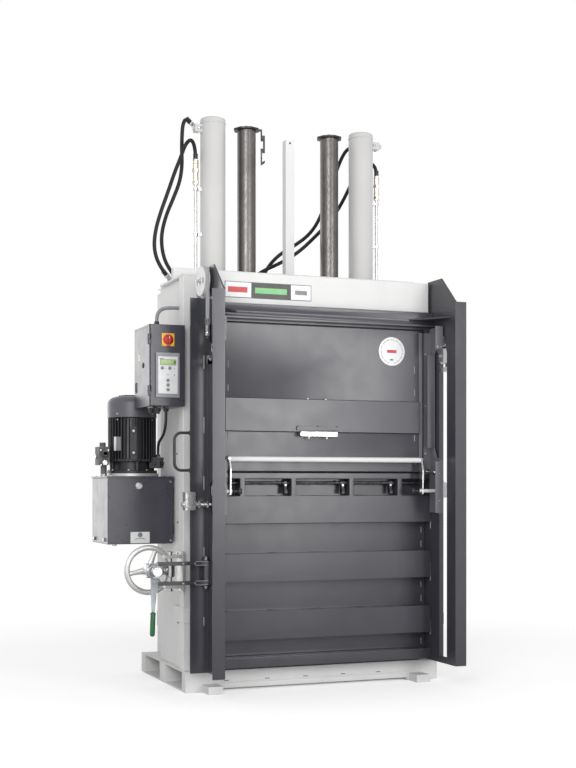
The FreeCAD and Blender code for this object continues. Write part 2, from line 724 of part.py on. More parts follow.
def rod_between(start, end, radius_name, name="Slanted"):
    """A straight round bar between two points."""
    low = FreeCAD.Vector(*start)
    heading = FreeCAD.Vector(*end) - low
    item = doc.addObject("Part::Feature", name)
    item.Shape = Part.makeCylinder(VALUE[radius_name], heading.Length, low, heading)
    item.Placement = FreeCAD.Placement()
    return item


FLOOR_TOP = "frame_top+top_t"

# ---------------------------------------------------------------- base
outer = box("-base_half", "base_half", "-base_d/2", "base_d/2", "0", "base_h")
pockets = []
for centre in ("-fork_y", "fork_y"):
    pockets.append(
        box(
            "-base_half-5",
            "base_half+5",
            centre + "-fork_w/2",
            centre + "+fork_w/2",
            "base_sheet",
            "base_h-base_sheet",
        )
    )
apron = box("-apron_half", "apron_half", "-base_d/2-5", "-base_d/2+apron_deep", "-5", "apron_lift")
trimmed_base = cut(outer, pockets + [apron])
feet = []
for centre in ("-foot_x", "foot_x"):
    feet.append(
        box(
            centre + "-foot_w/2",
            centre + "+foot_w/2",
            "-base_d/2-foot_out",
            "-base_d/2+base_sheet",
            "0",
            "foot_h",
        )
    )
node("base_frame", fuse([trimmed_base] + feet))

# ---------------------------------------------------------------- press frame
side_outline = [
    ("chamber_half", "rear_in"),
    ("chamber_half", "-liner_front"),
    ("chamber_half+liner_t", "-liner_front"),
    ("chamber_half+liner_t", "-post_front"),
    ("base_half", "-post_front"),
    ("base_half", "-post_back"),
    ("channel_in", "-post_back"),
    ("channel_in", "-channel_back"),
    ("cheek_x", "-channel_back"),
    ("cheek_x", "cheek_back"),
    ("rear_side_x", "cheek_back"),
    ("rear_side_x", "rear_in"),
]
post_hole = [
    ("chamber_half+liner_t+liner_t", "-post_front+wall_t"),
    ("base_half-wall_t", "-post_front+wall_t"),
    ("base_half-wall_t", "-post_back-wall_t"),
    ("chamber_half+liner_t+liner_t", "-post_back-wall_t"),
]
cheek_hole = [
    ("chamber_half+liner_t", "-channel_back+wall_t"),
    ("cheek_x-wall_t", "-channel_back+wall_t"),
    ("cheek_x-wall_t", "cheek_back-wall_t"),
    ("chamber_half+liner_t", "cheek_back-wall_t"),
]
side_right = profile(
    "XY",
    "base_h",
    "frame_top",
    [side_outline, post_hole, cheek_hole],
    "SideFrame",
)
node("side_frame_right", side_right)
node("side_frame_left", mirrored(side_right))

rear_parts = [
    box("-rear_side_x", "rear_side_x", "rear_in", "rear_in+rear_t", "base_h", "frame_top")
]
for index in range(4):
    low = "rear_rib_low+%d*rear_rib_pitch" % index
    rear_parts.append(
        box("-rear_side_x", "rear_side_x", "rear_in+rear_t", "base_d/2", low, low + "+rear_rib_h")
    )
node("rear_wall", fuse(rear_parts))

crown_outline = [
    ("-base_half", "-post_front"),
    ("base_half", "-post_front"),
    ("base_half", "crown_step"),
    ("cheek_x", "crown_step"),
    ("cheek_x", "cheek_back"),
    ("rear_side_x", "cheek_back"),
    ("rear_side_x", "rear_in+rear_t"),
    ("-rear_side_x", "rear_in+rear_t"),
    ("-rear_side_x", "cheek_back"),
    ("-cheek_x", "cheek_back"),
    ("-cheek_x", "crown_step"),
    ("-base_half", "crown_step"),
]
top_parts = [
    profile("XY", "frame_top", FLOOR_TOP, [crown_outline], "CrownPlate"),
    box("-beam_half", "beam_half", "-beam_front", "-post_front", "frame_top", FLOOR_TOP),
    box("-cross_half", "cross_half", "-cross_front", "-cross_front+cross_w", FLOOR_TOP, "cross_top"),
    box("-rear_side_x", "rear_side_x", "cross_rear-cross_w", "cross_rear", FLOOR_TOP, "cross_top"),
]
top_holes = []
for side in ("-", ""):
    top_holes.append(
        rod("z", "rod_r+hole_gap", "frame_top-5", FLOOR_TOP + "+5", side + "ram_x", "-ram_y")
    )
    top_holes.append(
        rod("z", "column_r+hole_gap", "frame_top-5", FLOOR_TOP + "+5", side + "column_x", "-ram_y")
    )
top_holes.append(
    box(
        "-cam_in-hole_gap",
        "-cam_out+hole_gap",
        "-ram_y-cam_t/2-hole_gap",
        "-ram_y+cam_t/2+hole_gap",
        "frame_top-5",
        FLOOR_TOP + "+5",
    )
)
crown_plate = cut(fuse(top_parts), top_holes)

beam_outer = [
    ("-beam_front", "beam_low"),
    ("-liner_front", "beam_low"),
    ("-liner_front", "frame_top"),
    ("-beam_front", "frame_top"),
]
beam_inner = [
    ("-beam_front+beam_wall", "beam_low+beam_wall"),
    ("-liner_front-beam_wall", "beam_low+beam_wall"),
    ("-liner_front-beam_wall", "frame_top-beam_wall"),
    ("-beam_front+beam_wall", "frame_top-beam_wall"),
]
front_beam = profile("YZ", "-beam_half", "beam_half", [beam_outer, beam_inner], "FrontBeam")
node("top_crosshead", fuse([crown_plate, front_beam]))
node(
    "name_plate",
    box(
        "-plate_left",
        "-plate_right",
        "-beam_front-plate_t",
        "-beam_front",
        "plate_low",
        "plate_high",
    ),
)

# ---------------------------------------------------------------- cylinders
barrel_outline = [
    ("rod_r+run_fit", FLOOR_TOP),
    ("ram_flange_r", FLOOR_TOP),
    ("ram_flange_r", FLOOR_TOP + "+ram_flange_t"),
    ("ram_r", FLOOR_TOP + "+ram_flange_t"),
    ("ram_r", "ram_top-ram_edge"),
    ("ram_r-ram_edge/3", "ram_top-ram_edge/3"),
    ("ram_r-ram_edge", "ram_top"),
    ("0", "ram_top"),
    ("0", "ram_top-ram_cap"),
    ("ram_bore_r", "ram_top-ram_cap"),
    ("ram_bore_r", FLOOR_TOP + "+ram_gland"),
    ("rod_r+run_fit", FLOOR_TOP + "+ram_gland"),
]
for label, side in (("cylinder_left", "-"), ("cylinder_right", "")):
    node(label, lathe(barrel_outline, side + "ram_x", "-ram_y", "0", "z", "Barrel"))

port_parts = []
for side in (-1, 1):
    sign = "-" if side < 0 else ""
    low = "-port_out" if side < 0 else "ram_x+port_half"
    high = "-ram_x-port_half" if side < 0 else "port_out"
    block = box(
        low, high, "-ram_y-port_half", "-ram_y+port_half", "port_z-port_half", "port_z+port_half"
    )
    foot_low = "-pipe_x-ferrule_r" if side < 0 else "ram_x+port_half"
    foot_high = "-ram_x-port_half" if side < 0 else "pipe_x+ferrule_r"
    foot = box(
        foot_low,
        foot_high,
        "-ram_y-ferrule_r",
        "-ram_y+ferrule_r",
        "foot_port_z-ferrule_r",
        "foot_port_z+ferrule_r",
    )
    barrel = rod("z", "ram_r", "foot_port_z-50", "ram_top", sign + "ram_x", "-ram_y")
    port_parts.append(cut(fuse([block, foot], "PortBlocks"), [barrel]))
port_parts.append(rod("x", "ferrule_r", "port_out", "elbow_x", "-ram_y", "port_z"))
port_parts.append(ball("ferrule_r", "elbow_x", "-ram_y", "port_z"))
port_parts.append(rod("y", "ferrule_r", "-ram_y", "-ram_y+elbow_drop", "elbow_x", "port_z"))

for sign in ("-", ""):
    port_parts.append(
        rod("z", "pipe_r", "foot_port_z+ferrule_r", "pipe_fit_low", sign + "pipe_x", "-ram_y")
    )
    port_parts.append(
        rod("z", "pipe_fit_r", "pipe_fit_low", "pipe_fit_high", sign + "pipe_x", "-ram_y")
    )

bush_parts = []
for sign in ("-", ""):
    bush_parts.append(
        cut(
            rod("z", "bush_r", FLOOR_TOP, FLOOR_TOP + "+bush_h", sign + "column_x", "-ram_y"),
            [
                rod(
                    "z",
                    "column_r+run_fit",
                    "frame_top",
                    FLOOR_TOP + "+bush_h+5",
                    sign + "column_x",
                    "-ram_y",
                )
            ],
        )
    )
node("guide_bushes", fuse(bush_parts))

mast_outer = [
    ("-mast_half", "-ram_y-mast_half"),
    ("mast_half", "-ram_y-mast_half"),
    ("mast_half", "-ram_y+mast_half"),
    ("-mast_half", "-ram_y+mast_half"),
]
mast_inner = [
    ("-mast_half+mast_wall", "-ram_y-mast_half+mast_wall"),
    ("mast_half-mast_wall", "-ram_y-mast_half+mast_wall"),
    ("mast_half-mast_wall", "-ram_y+mast_half-mast_wall"),
    ("-mast_half+mast_wall", "-ram_y+mast_half-mast_wall"),
]
node("switch_mast", profile("XY", FLOOR_TOP, "mast_top", [mast_outer, mast_inner], "Mast"))

# ---------------------------------------------------------------- hoses
# Routes of the pressure hoses, corner by corner.
HOSE_LEFT_INNER = [
    (-556, -29, 2950),
    (-586, -50, 2964),
    (-606, -59, 2930),
    (-608, -50, 2868),
    (-602, -26, 2790),
    (-594, -6, 2720),
    (-602, 10, 2640),
    (-632, 22, 2558),
    (-676, 32, 2450),
    (-698, 38, 2343),
    (-682, 45, 2240),
    (-640, 54, 2172),
    (-606, 58, 2134),
]
HOSE_LEFT_OUTER = [
    (-527, -29, 2753),
    (-527, -29, 2808),
    (-556, -58, 2858),
    (-598, -83, 2822),
    (-626, -89, 2746),
    (-660, -90, 2664),
    (-694, -88, 2562),
    (-734, -85, 2452),
    (-762, -82, 2352),
    (-768, -77, 2262),
    (-740, -70, 2180),
    (-694, -63, 2128),
]
HOSE_RIGHT_UPPER = [
    (545, -3, 2922),
    (545, 42, 2922),
    (516, 84, 2936),
    (462, 98, 2952),
    (404, 96, 2928),
    (366, 97, 2866),
    (334, 99, 2780),
    (288, 103, 2650),
    (236, 110, 2508),
    (176, 117, 2426),
    (92, 124, 2364),
    (6, 132, 2312),
    (-58, 140, 2240),
    (-90, 146, 2170),
    (-100, 148, 2134),
]
HOSE_RIGHT_LOWER = [
    (527, -29, 2753),
    (527, -29, 2794),
    (520, 10, 2836),
    (480, 58, 2846),
    (440, 78, 2770),
    (400, 80, 2682),
    (344, 84, 2578),
    (286, 88, 2500),
    (231, 92, 2443),
    (180, 98, 2391),
    (121, 104, 2336),
    (54, 105, 2290),
    (-18, 108, 2250),
    (-96, 114, 2214),
    (-160, 118, 2164),
    (-184, 120, 2136),
]
node("hose_left_inner", tube_along(HOSE_LEFT_INNER, "hose_r", "HoseLeftInner"))
node("hose_left_outer", tube_along(HOSE_LEFT_OUTER, "hose_r", "HoseLeftOuter"))
node("hose_right_upper", tube_along(HOSE_RIGHT_UPPER, "hose_r", "HoseRightUpper"))
node("hose_right_lower", tube_along(HOSE_RIGHT_LOWER, "hose_r", "HoseRightLower"))
adapter_tip = FreeCAD.Vector(*HOSE_LEFT_INNER[0])
adapter_run = FreeCAD.Vector(*HOSE_LEFT_INNER[1]) - adapter_tip
port_parts.append(rod_between(adapter_tip - adapter_run, adapter_tip, "ferrule_r", "PortAdapter"))
node("pressure_pipework", fuse(port_parts))

end_parts = []
for route in (HOSE_LEFT_INNER, HOSE_LEFT_OUTER, HOSE_RIGHT_UPPER, HOSE_RIGHT_LOWER):
    tip = FreeCAD.Vector(*route[-1])
    heading = tip - FreeCAD.Vector(*route[-2])
    drop = tip.z - VALUE["frame_top"] - VALUE["top_t"] - VALUE["socket_h"]
    foot = tip - heading * (drop / heading.z)
    end_parts.append(rod_between(tip, foot, "ferrule_r", "HoseEnd"))
    socket = doc.addObject("Part::Box", "Socket")
    socket.setExpression("Length", bound("socket_w"))
    socket.setExpression("Width", bound("socket_w"))
    socket.setExpression("Height", bound("socket_h"))
    place(socket, "%.1f-socket_w/2" % foot.x, "%.1f-socket_w/2" % foot.y, FLOOR_TOP)
    end_parts.append(socket)
node("hose_ends", fuse(end_parts))

# ---------------------------------------------------------------- platen
platen_parts = [
    box(
        "-platen_half",
        "platen_half",
        "-platen_front",
        "platen_back",
        "platen_low",
        "platen_low+platen_skin",
    ),
    box(
        "-platen_half",
        "platen_half",
        "-ram_y-platen_beam",
        "-ram_y+platen_beam",
        "platen_low+platen_skin",
        "platen_high",
    ),
]
for low, high in (
    ("-platen_front", "-platen_front+platen_beam"),
    ("platen_back-platen_beam", "platen_back"),
):
    platen_parts.append(
        box("-platen_half", "platen_half", low, high, "platen_low+platen_skin", "platen_rim")
    )
for centre in ("-ram_x", "0", "ram_x"):
    platen_parts.append(
        box(
            centre + "-platen_beam/2",
            centre + "+platen_beam/2",
            "-platen_front",
            "platen_back",
            "platen_low+platen_skin",
            "platen_rim",
        )
    )
grooves = []
for index in range(-2, 3):
    middle = "%d*groove_pitch" % index
    grooves.append(
        box(
            middle + "-groove_w/2",
            middle + "+groove_w/2",
            "-platen_front-5",
            "platen_back+5",
            "platen_low-5",
            "platen_low+groove_d",
        )
    )
node("platen", cut(fuse(platen_parts), grooves))

rod_parts = []
for sign in ("-", ""):
    rod_parts.append(
        rod("z", "rod_r", "platen_high", "piston_top-piston_t", sign + "ram_x", "-ram_y")
    )
    rod_parts.append(
        rod(
            "z",
            "ram_bore_r-run_fit",
            "piston_top-piston_t",
            "piston_top",
            sign + "ram_x",
            "-ram_y",
        )
    )
node("piston_rods", fuse(rod_parts))

column_parts = []
cap_parts = []
for sign in ("-", ""):
    column_parts.append(
        rod("z", "column_r", "platen_high", "column_top", sign + "column_x", "-ram_y")
    )
    cap = doc.addObject("Part::Prism", "Cap")
    cap.Polygon = 8
    cap.setExpression("Circumradius", bound("cap_r"))
    cap.setExpression("Height", bound("cap_t"))
    place(cap, sign + "column_x", "-ram_y", "column_top")
    cap_parts.append(cap)
node("guide_columns", fuse(column_parts))

cam_outline = [
    ("-cam_root", "column_top+cap_t/2"),
    ("-cam_root", "column_top+cap_t+cam_arm"),
    ("-cam_mid", "column_top+cap_t+cam_arm"),
    ("-cam_mid", "cam_first"),
    ("-cam_out", "cam_first"),
    ("-cam_out", "cam_second"),
    ("-cam_mid", "cam_second"),
    ("-cam_mid", "cam_foot+20"),
    ("-cam_out", "cam_foot+30"),
    ("-cam_out", "cam_foot+16"),
    ("-cam_in", "cam_foot"),
    ("-cam_in", "cam_second+24"),
    ("-cam_mid+6", "cam_second+24"),
    ("-cam_mid+6", "cam_first-32"),
    ("-cam_in", "cam_first-32"),
    ("-cam_in", "column_top+cap_t/2"),
]
cap_parts.append(
    profile("XZ", "-ram_y-cam_t/2", "-ram_y+cam_t/2", [cam_outline], "SwitchCam")
)
node("column_caps", fuse(cap_parts))

# ---------------------------------------------------------------- bale door
plate_outline = [
    ("-plate_rear", "plate_low_z"),
    ("-plate_nose", "plate_low_z"),
    ("-plate_nose", "plate_nose_z"),
    ("-plate_peak_y", "plate_peak"),
    ("-plate_step_y", "plate_peak"),
    ("-plate_step_y", "stile_top"),
    ("-plate_rear", "stile_top"),
]
slot_outline = [
    ("-slot_front", "slot_low"),
    ("-slot_back", "slot_low"),
    ("-slot_back", "window_low"),
    ("-window_y", "window_low+window_cut"),
    ("-window_y", "window_high-window_cut"),
    ("-slot_back", "window_high"),
    ("-slot_back", "slot_high-10"),
    ("-slot_back+9", "slot_high+16"),
    ("-slot_back+32", "slot_bend_low-4"),
    ("-slot_bend_y", "slot_bend_low"),
    ("-slot_bend_y", "slot_bend_high"),
    ("-slot_front+62", "slot_bend_high"),
    ("-slot_front+30", "slot_bend_high-18"),
    ("-slot_front+8", "slot_high+42"),
    ("-slot_front", "slot_high+10"),
]
stile_outline = [
    ("plate_x", "-stile_front"),
    ("stile_x", "-stile_front"),
    ("stile_x", "-plate_rear"),
    ("plate_x", "-plate_rear"),
    ("plate_x", "-plate_rear-stile_t"),
    ("stile_x-stile_t", "-plate_rear-stile_t"),
    ("stile_x-stile_t", "-stile_front+stile_t"),
    ("plate_x", "-stile_front+stile_t"),
]
side_plate = profile(
    "YZ", "plate_x-plate_tk", "plate_x", [plate_outline, slot_outline], "SidePlate"
)
front_flange = box(
    "plate_x-plate_tk",
    "flange_out",
    "-plate_nose",
    "-plate_nose+flange_t",
    "plate_low_z",
    "plate_nose_z",
)
stile = profile("XY", "plate_low_z", "stile_top", [stile_outline], "Stile")
bracket_parts = []
knuckle_parts = []
pin_parts = []
for height in ("hinge_low", "hinge_mid", "hinge_high"):
    pin_hole = rod(
        "z", "hinge_pin_r", height + "-pin_half", height + "+pin_half", "hinge_x", "-hinge_y"
    )
    for low, high in (("-ear_far", "-ear_near"), ("+ear_near", "+ear_far")):
        ear = fuse(
            [
                rod("z", "ear_r", height + low, height + high, "hinge_x", "-hinge_y"),
                box("hinge_x-ear_r", "hinge_x+ear_r", "-hinge_y", "-post_front",
                    height + low, height + high),
            ]
        )
        bracket_parts.append(cut(ear, [pin_hole]))
    pin_parts.append(
        rod("z", "hinge_pin_r", height + "-pin_half", height + "+pin_half", "hinge_x", "-hinge_y")
    )
    knuckle = fuse(
        [
            rod("z", "knuckle_r", height + "-knuckle_half", height + "+knuckle_half",
                "hinge_x", "-hinge_y"),
            box("stile_x", "hinge_x", "-hinge_y-leaf_deep", "-hinge_y",
                height + "-knuckle_half", height + "+knuckle_half"),
        ]
    )
    running_hole = rod("z", "hinge_pin_r+run_fit", height + "-pin_half", height + "+pin_half",
                       "hinge_x", "-hinge_y")
    knuckle_parts.append(cut(knuckle, [running_hole]))
node("hinge_brackets", fuse(bracket_parts))
pin_parts.append(rod("z", "pivot_r", "pivot_low", "pivot_high", "-pivot_x", "-pivot_y"))
for height in ("case_hinge_low", "case_hinge_high"):
    pin_parts.append(
        rod("z", "case_pin_r", height + "-case_hinge_h", height + "+case_hinge_h",
            "-case_hinge_x", "-case_hinge_y")
    )
node("pivot_pins", fuse(pin_parts))

upright = fuse([side_plate, front_flange, stile])
node("upright_right", fuse([upright] + knuckle_parts))
upright_mirror = mirrored(upright)
lock_strip = box(
    "-strip_x", "-plate_x", "-stile_front-strip_t", "-stile_front", "plate_low_z", "stile_top"
)
node("upright_left", fuse([upright_mirror, lock_strip]))

door_parts = [
    box("-panel_half", "panel_half", "-skin_front", "-skin_back", "rail_low_a", "sill_high"),
    box("-panel_half", "panel_half", "-rib_front", "-skin_front", "rail_low_a", "rail_low_b"),
    box("-panel_half", "panel_half", "-rib_front", "-skin_front", "pocket_high", "sill_high"),
]
door_holes = [
    box(
        "-panel_half-5",
        "panel_half+5",
        "-rib_front+fold_t",
        "-skin_front",
        "rail_low_a+fold_t",
        "rail_low_b-fold_t",
    )
]
for index in range(3):
    low = "rib_first+%d*rib_pitch" % index
    door_parts.append(
        box("-panel_half", "panel_half", "-rib_front", "-skin_front", low, low + "+rib_h")
    )
    door_holes.append(
        box(
            "-panel_half-5",
            "panel_half+5",
            "-rib_front+fold_t",
            "-skin_front",
            low + "+fold_t",
            low + "+rib_h-fold_t",
        )
    )
for centre in ("-web_x_out", "-web_x_in", "web_x_in", "web_x_out"):
    door_parts.append(
        box(
            centre + "-web_half",
            centre + "+web_half",
            "-rib_front",
            "-skin_front",
            "rib_first+2*rib_pitch+rib_h",
            "pocket_high",
        )
    )
door_holes.append(
    rod("x", "claw_shaft_r+run_fit", "-panel_half", "panel_half", "-claw_y", "claw_z")
)
node("door_panel", cut(fuse(door_parts), door_holes))

rail_outer = [
    ("-top_rail_front", "top_rail_low"),
    ("-skin_back", "top_rail_low"),
    ("-skin_back", "top_rail_high"),
    ("-top_rail_front", "top_rail_high"),
]
rail_inner = [
    ("-top_rail_front+fold_t", "top_rail_low+fold_t"),
    ("-skin_back-fold_t", "top_rail_low+fold_t"),
    ("-skin_back-fold_t", "top_rail_high-fold_t"),
    ("-top_rail_front+fold_t", "top_rail_high-fold_t"),
]
rail = profile("YZ", "-panel_half", "panel_half", [rail_outer, rail_inner], "TopRail")
lip = box(
    "-panel_half",
    "panel_half",
    "-top_rail_front-lip_out",
    "-top_rail_front",
    "top_rail_low",
    "top_rail_low+top_rail_lip",
)
gusset_outline = [
    ("panel_half-gusset_run", "-top_rail_front"),
    ("panel_half", "-top_rail_front"),
    ("panel_half", "-top_rail_front-gusset_leg"),
]
gusset = profile("XY", "gusset_z", "gusset_z+gusset_t", [gusset_outline], "Gusset")
node("top_rail", fuse([rail, lip, gusset, mirrored(gusset)]))

handle_out = sheet_value("-pull_x")
handle_in = sheet_value("-strip_x")
handle_y = sheet_value("-pull_y")
PULL_ROUTE = [
    (handle_in, handle_y, VALUE["pull_low"]),
    (handle_out, handle_y, VALUE["pull_low"]),
    (handle_out, handle_y, VALUE["pull_high"]),
    (handle_in, handle_y, VALUE["pull_high"]),
]
node("pull_handle", tube_along(PULL_ROUTE, "pull_r", "PullHandle"))

claw_parts = [rod("x", "claw_shaft_r", "-claw_shaft_half", "claw_shaft_half", "-claw_y", "claw_z")]
claw_outline = [
    ("-claw_y-claw_shaft_r-4", "claw_z+claw_shaft_r"),
    ("-claw_y+claw_shaft_r+4", "claw_z+claw_shaft_r"),
    ("-claw_y+claw_shaft_r+4", "claw_z-22"),
    ("-claw_y+claw_shaft_r-2", "claw_z-54"),
    ("-claw_y-claw_shaft_r-12", "claw_z-54"),
    ("-claw_y-claw_shaft_r-12", "claw_z-42"),
    ("-claw_y-claw_shaft_r-4", "claw_z-22"),
]
for centre in ("-claw_left", "claw_mid", "claw_right"):
    claw_parts.append(
        profile("YZ", centre + "-claw_w/2", centre + "+claw_w/2", [claw_outline], "Claw")
    )
node("bale_claws", fuse(claw_parts))

lug_parts = [
    box("-fork_end", "-plate_x", "-fork_front", "-fork_back",
        "fork_z_high-fork_lug_t/2", "fork_z_high+fork_lug_t/2"),
    box("-fork_end", "-plate_x", "-fork_front", "-fork_back",
        "fork_z_low-fork_lug_t/2", "fork_z_low+fork_lug_t/2"),
    box("-plate_x-fork_web", "-plate_x", "-fork_front", "-fork_back", "fork_z_low", "fork_z_high"),
    rod("z", "fork_bolt_r", "fork_z_high", "fork_z_high+fork_lug_t/2+8",
        "-plate_x-fork_web/2", "-fork_front/2-fork_back/2"),
    rod("z", "fork_bolt_r", "fork_z_low-fork_lug_t/2-8", "fork_z_low",
        "-plate_x-fork_web/2", "-fork_front/2-fork_back/2"),
]
node("lock_lugs", fuse(lug_parts))

node(
    "side_stops",
    fuse(
        [
            box("-stop_out", "-stop_in", "-stop_front", "-stile_front-strip_t",
                "stop_low", "stop_high"),
            rod("x", "stop_r", "-stop_out-stop_nut_h", "-carriage_x-stop_tip", "-stop_y", "stop_z"),
            rod("x", "stop_nut_r", "-stop_out-stop_nut_h", "-stop_out", "-stop_y", "stop_z"),
            rod("x", "stop_nut_r", "-stop_in", "-stop_in+stop_nut_h", "-stop_y", "stop_z"),
        ]
    ),
)

axle_parts = []
pulley_parts = []
for side in (-1, 1):
    low, high = across(side, "plate_x", "pulley_axle_out")
    axle_parts.append(rod("x", "pulley_axle_r", low, high, "-pulley_y", "pulley_z"))
    low, high = across(side, "pulley_b+0.5", "pulley_axle_out")
    axle_parts.append(rod("x", "pulley_axle_r+7", low, high, "-pulley_y", "pulley_z"))
    low, high = across(side, "pulley_a", "pulley_b")
    core = rod("x", "pulley_r", low, high, "-pulley_y", "pulley_z")
    bore = rod("x", "pulley_axle_r+run_fit", low, high, "-pulley_y", "pulley_z")
    low, high = across(side, "pulley_a", "pulley_a+3")
    rim_one = rod("x", "pulley_rim", low, high, "-pulley_y", "pulley_z")
    low, high = across(side, "pulley_b-3", "pulley_b")
    rim_two = rod("x", "pulley_rim", low, high, "-pulley_y", "pulley_z")
    pulley_parts.append(cut(fuse([core, rim_one, rim_two]), [bore]))
node("pulley_axles", fuse(axle_parts))
node("pulleys", fuse(pulley_parts))

belt_parts = []
for side in (-1, 1):
    low, high = across(side, "belt_a", "belt_b")
    wrap = cut(
        rod("x", "pulley_r+belt_gap+belt_t", low, high, "-pulley_y", "pulley_z"),
        [
            rod("x", "pulley_r+belt_gap", low + "-5", high + "+5", "-pulley_y", "pulley_z"),
            box(low + "-5", high + "+5", "-pulley_y-2*pulley_r", "-pulley_y+2*pulley_r",
                "pulley_z-2*pulley_r", "pulley_z"),
        ],
    )
    front = box(low, high, "-pulley_y-pulley_r-belt_gap-belt_t", "-pulley_y-pulley_r-belt_gap",
                "belt_end_z", "pulley_z")
    back = box(low, high, "-pulley_y+pulley_r+belt_gap", "-pulley_y+pulley_r+belt_gap+belt_t",
               "weight_high", "pulley_z")
    belt_parts.extend([wrap, front, back])
node("belts", fuse(belt_parts))

weight_parts = [
    box("weight_a", "weight_b", "-weight_front", "-weight_back", "weight_low", "weight_high"),
    box("-weight_b", "-weight_a", "-weight_front", "-weight_back", "weight_low", "weight_high"),
]
node("counterweights", fuse(weight_parts))

# ---------------------------------------------------------------- loading door
band_outer = box("-band_half", "band_half", "-loading_back-loading_t-band_out",
                 "-loading_back-loading_t", "band_low", "band_high")
band_inner = box("-band_half-5", "band_half+5", "-loading_back-loading_t-band_out+fold_t",
                 "-loading_back-loading_t", "band_low+fold_t", "band_high-fold_t")
sheet_parts = [
    box("-loading_half", "loading_half", "-loading_back-loading_t", "-loading_back",
        "loading_low", "loading_high"),
    box("-loading_half", "loading_half", "-loading_back-loading_t-edge_fold",
        "-loading_back-loading_t", "loading_high-fold_t", "loading_high"),
    box("-loading_half", "loading_half", "-loading_back-loading_t-edge_fold",
        "-loading_back-loading_t", "loading_low", "loading_low+fold_t"),
    cut(band_outer, [band_inner]),
]
node("loading_panel", fuse(sheet_parts))

carriage_outline = [
    ("-loading_back-loading_t", "arm_low_a"),
    ("-carriage_front", "arm_low_a"),
    ("-carriage_front", "arm_low_b"),
    ("-carriage_spine-24", "arm_low_b+22"),
    ("-carriage_spine", "arm_low_b+70"),
    ("-carriage_spine", "arm_under-22"),
    ("-carriage_spine-18", "arm_under"),
    ("-carriage_front+tongue_w", "arm_under"),
    ("-carriage_front+tongue_w", "ear_low"),
    ("-carriage_front", "ear_low"),
    ("-carriage_front", "arm_top_high"),
    ("-loading_back-loading_t", "arm_top_high"),
]
carriage_plate = profile(
    "YZ", "carriage_x-carriage_t", "carriage_x", [carriage_outline], "CarriagePlate"
)
carriage = fuse(
    [
        carriage_plate,
        box("carriage_in", "carriage_x-carriage_t", "-carriage_front",
            "-carriage_front+fold_t", "arm_low_a", "arm_low_b"),
        box("carriage_in", "carriage_x-carriage_t", "-carriage_front",
            "-carriage_front+fold_t", "arm_under", "arm_top_high"),
        box("carriage_in", "carriage_x-carriage_t", "-carriage_spine",
            "-carriage_spine+fold_t", "arm_low_b+70", "arm_under-22"),
        box("carriage_lap", "carriage_x-carriage_t", "-loading_back-loading_t-fold_t",
            "-loading_back-loading_t", "loading_low+edge_fold", "loading_high-edge_fold"),
    ]
)
node("carriages", fuse([carriage, mirrored(carriage)]))

stud_parts = []
clamp_parts = []
push_pin_parts = []
for side in (-1, 1):
    for height in ("roller_top_z", "roller_low_z"):
        low, high = across(side, "carriage_x", "roller_out")
        stud_parts.append(rod("x", "axle_r", low, high, "-roller_y", height))
        low, high = across(side, "carriage_x+2", "roller_out")
        stud_parts.append(
            rod("x", "slot_front/2-slot_back/2-slide_gap", low, high, "-roller_y", height)
        )
    low, high = across(side, "carriage_x", "belt_b")
    clamp_parts.append(
        box(low, high, "-roller_y-clamp_w/2", "-roller_y+clamp_w/2",
            "clamp_bar_z", "clamp_bar_z+24")
    )
    low, high = across(side, "belt_a", "belt_b")
    clamp_parts.append(
        box(low, high, "-roller_y-clamp_w/2", "-pulley_y-pulley_r+clamp_w/2",
            "clamp_bar_z", "clamp_bar_z+40")
    )
    clamp_parts.append(
        box(low, high, "-pulley_y-pulley_r-clamp_w/2", "-pulley_y-pulley_r+clamp_w/2",
            "clamp_bar_z+40", "belt_end_z")
    )
    low, high = across(side, "push_x-10", "carriage_x-carriage_t")
    push_pin_parts.append(rod("x", "push_pin_r", low, high, "-push_y", "push_z"))
node("guide_studs", fuse(stud_parts + push_pin_parts))
node("belt_clamps", fuse(clamp_parts))

handle_parts = [
    box("-handle_x-handle_half", "-handle_x+handle_half", "-handle_front", "-handle_back",
        "handle_low", "band_low"),
    box("-handle_x-shelf_half", "-handle_x+shelf_half", "-loading_back-loading_t-band_out-shelf_t",
        "-loading_back-loading_t-band_out", "shelf_low", "shelf_high"),
]
for sign in ("-", "+"):
    handle_parts.append(
        rod("z", "handle_bolt_r", "handle_low-handle_bolt_out", "handle_low+1",
            "-handle_x" + sign + "handle_bolt_x", "-handle_front/2-handle_back/2")
    )
node("door_handle", fuse(handle_parts))

arm_outline = [
    ("-push_y-push_arm_w/2", "push_z-push_arm_w/2"),
    ("-push_y+push_arm_w/2", "push_z-push_arm_w/2"),
    ("-push_y+push_arm_w/2", "push_z+40"),
    ("-push_bar_y+4", "push_bar_z-50"),
    ("-push_bar_y+push_bar_r", "push_bar_z"),
    ("-push_bar_y+4", "push_bar_z+push_bar_r"),
    ("-push_bar_y-push_bar_r", "push_bar_z+8"),
    ("-push_y-push_arm_w/2-4", "push_bar_z-50"),
    ("-push_y-push_arm_w/2-2", "push_z+40"),
]
push_parts = [rod("x", "push_bar_r", "-push_x", "push_x", "-push_bar_y", "push_bar_z")]
for sign in ("-", ""):
    arm = profile(
        "YZ", sign + "push_x-push_arm_t/2", sign + "push_x+push_arm_t/2", [arm_outline], "PushArm"
    )
    hole = rod("x", "push_pin_r+run_fit", sign + "push_x-push_arm_t",
               sign + "push_x+push_arm_t", "-push_y", "push_z")
    push_parts.append(cut(arm, [hole]))
node("push_bar", fuse(push_parts))

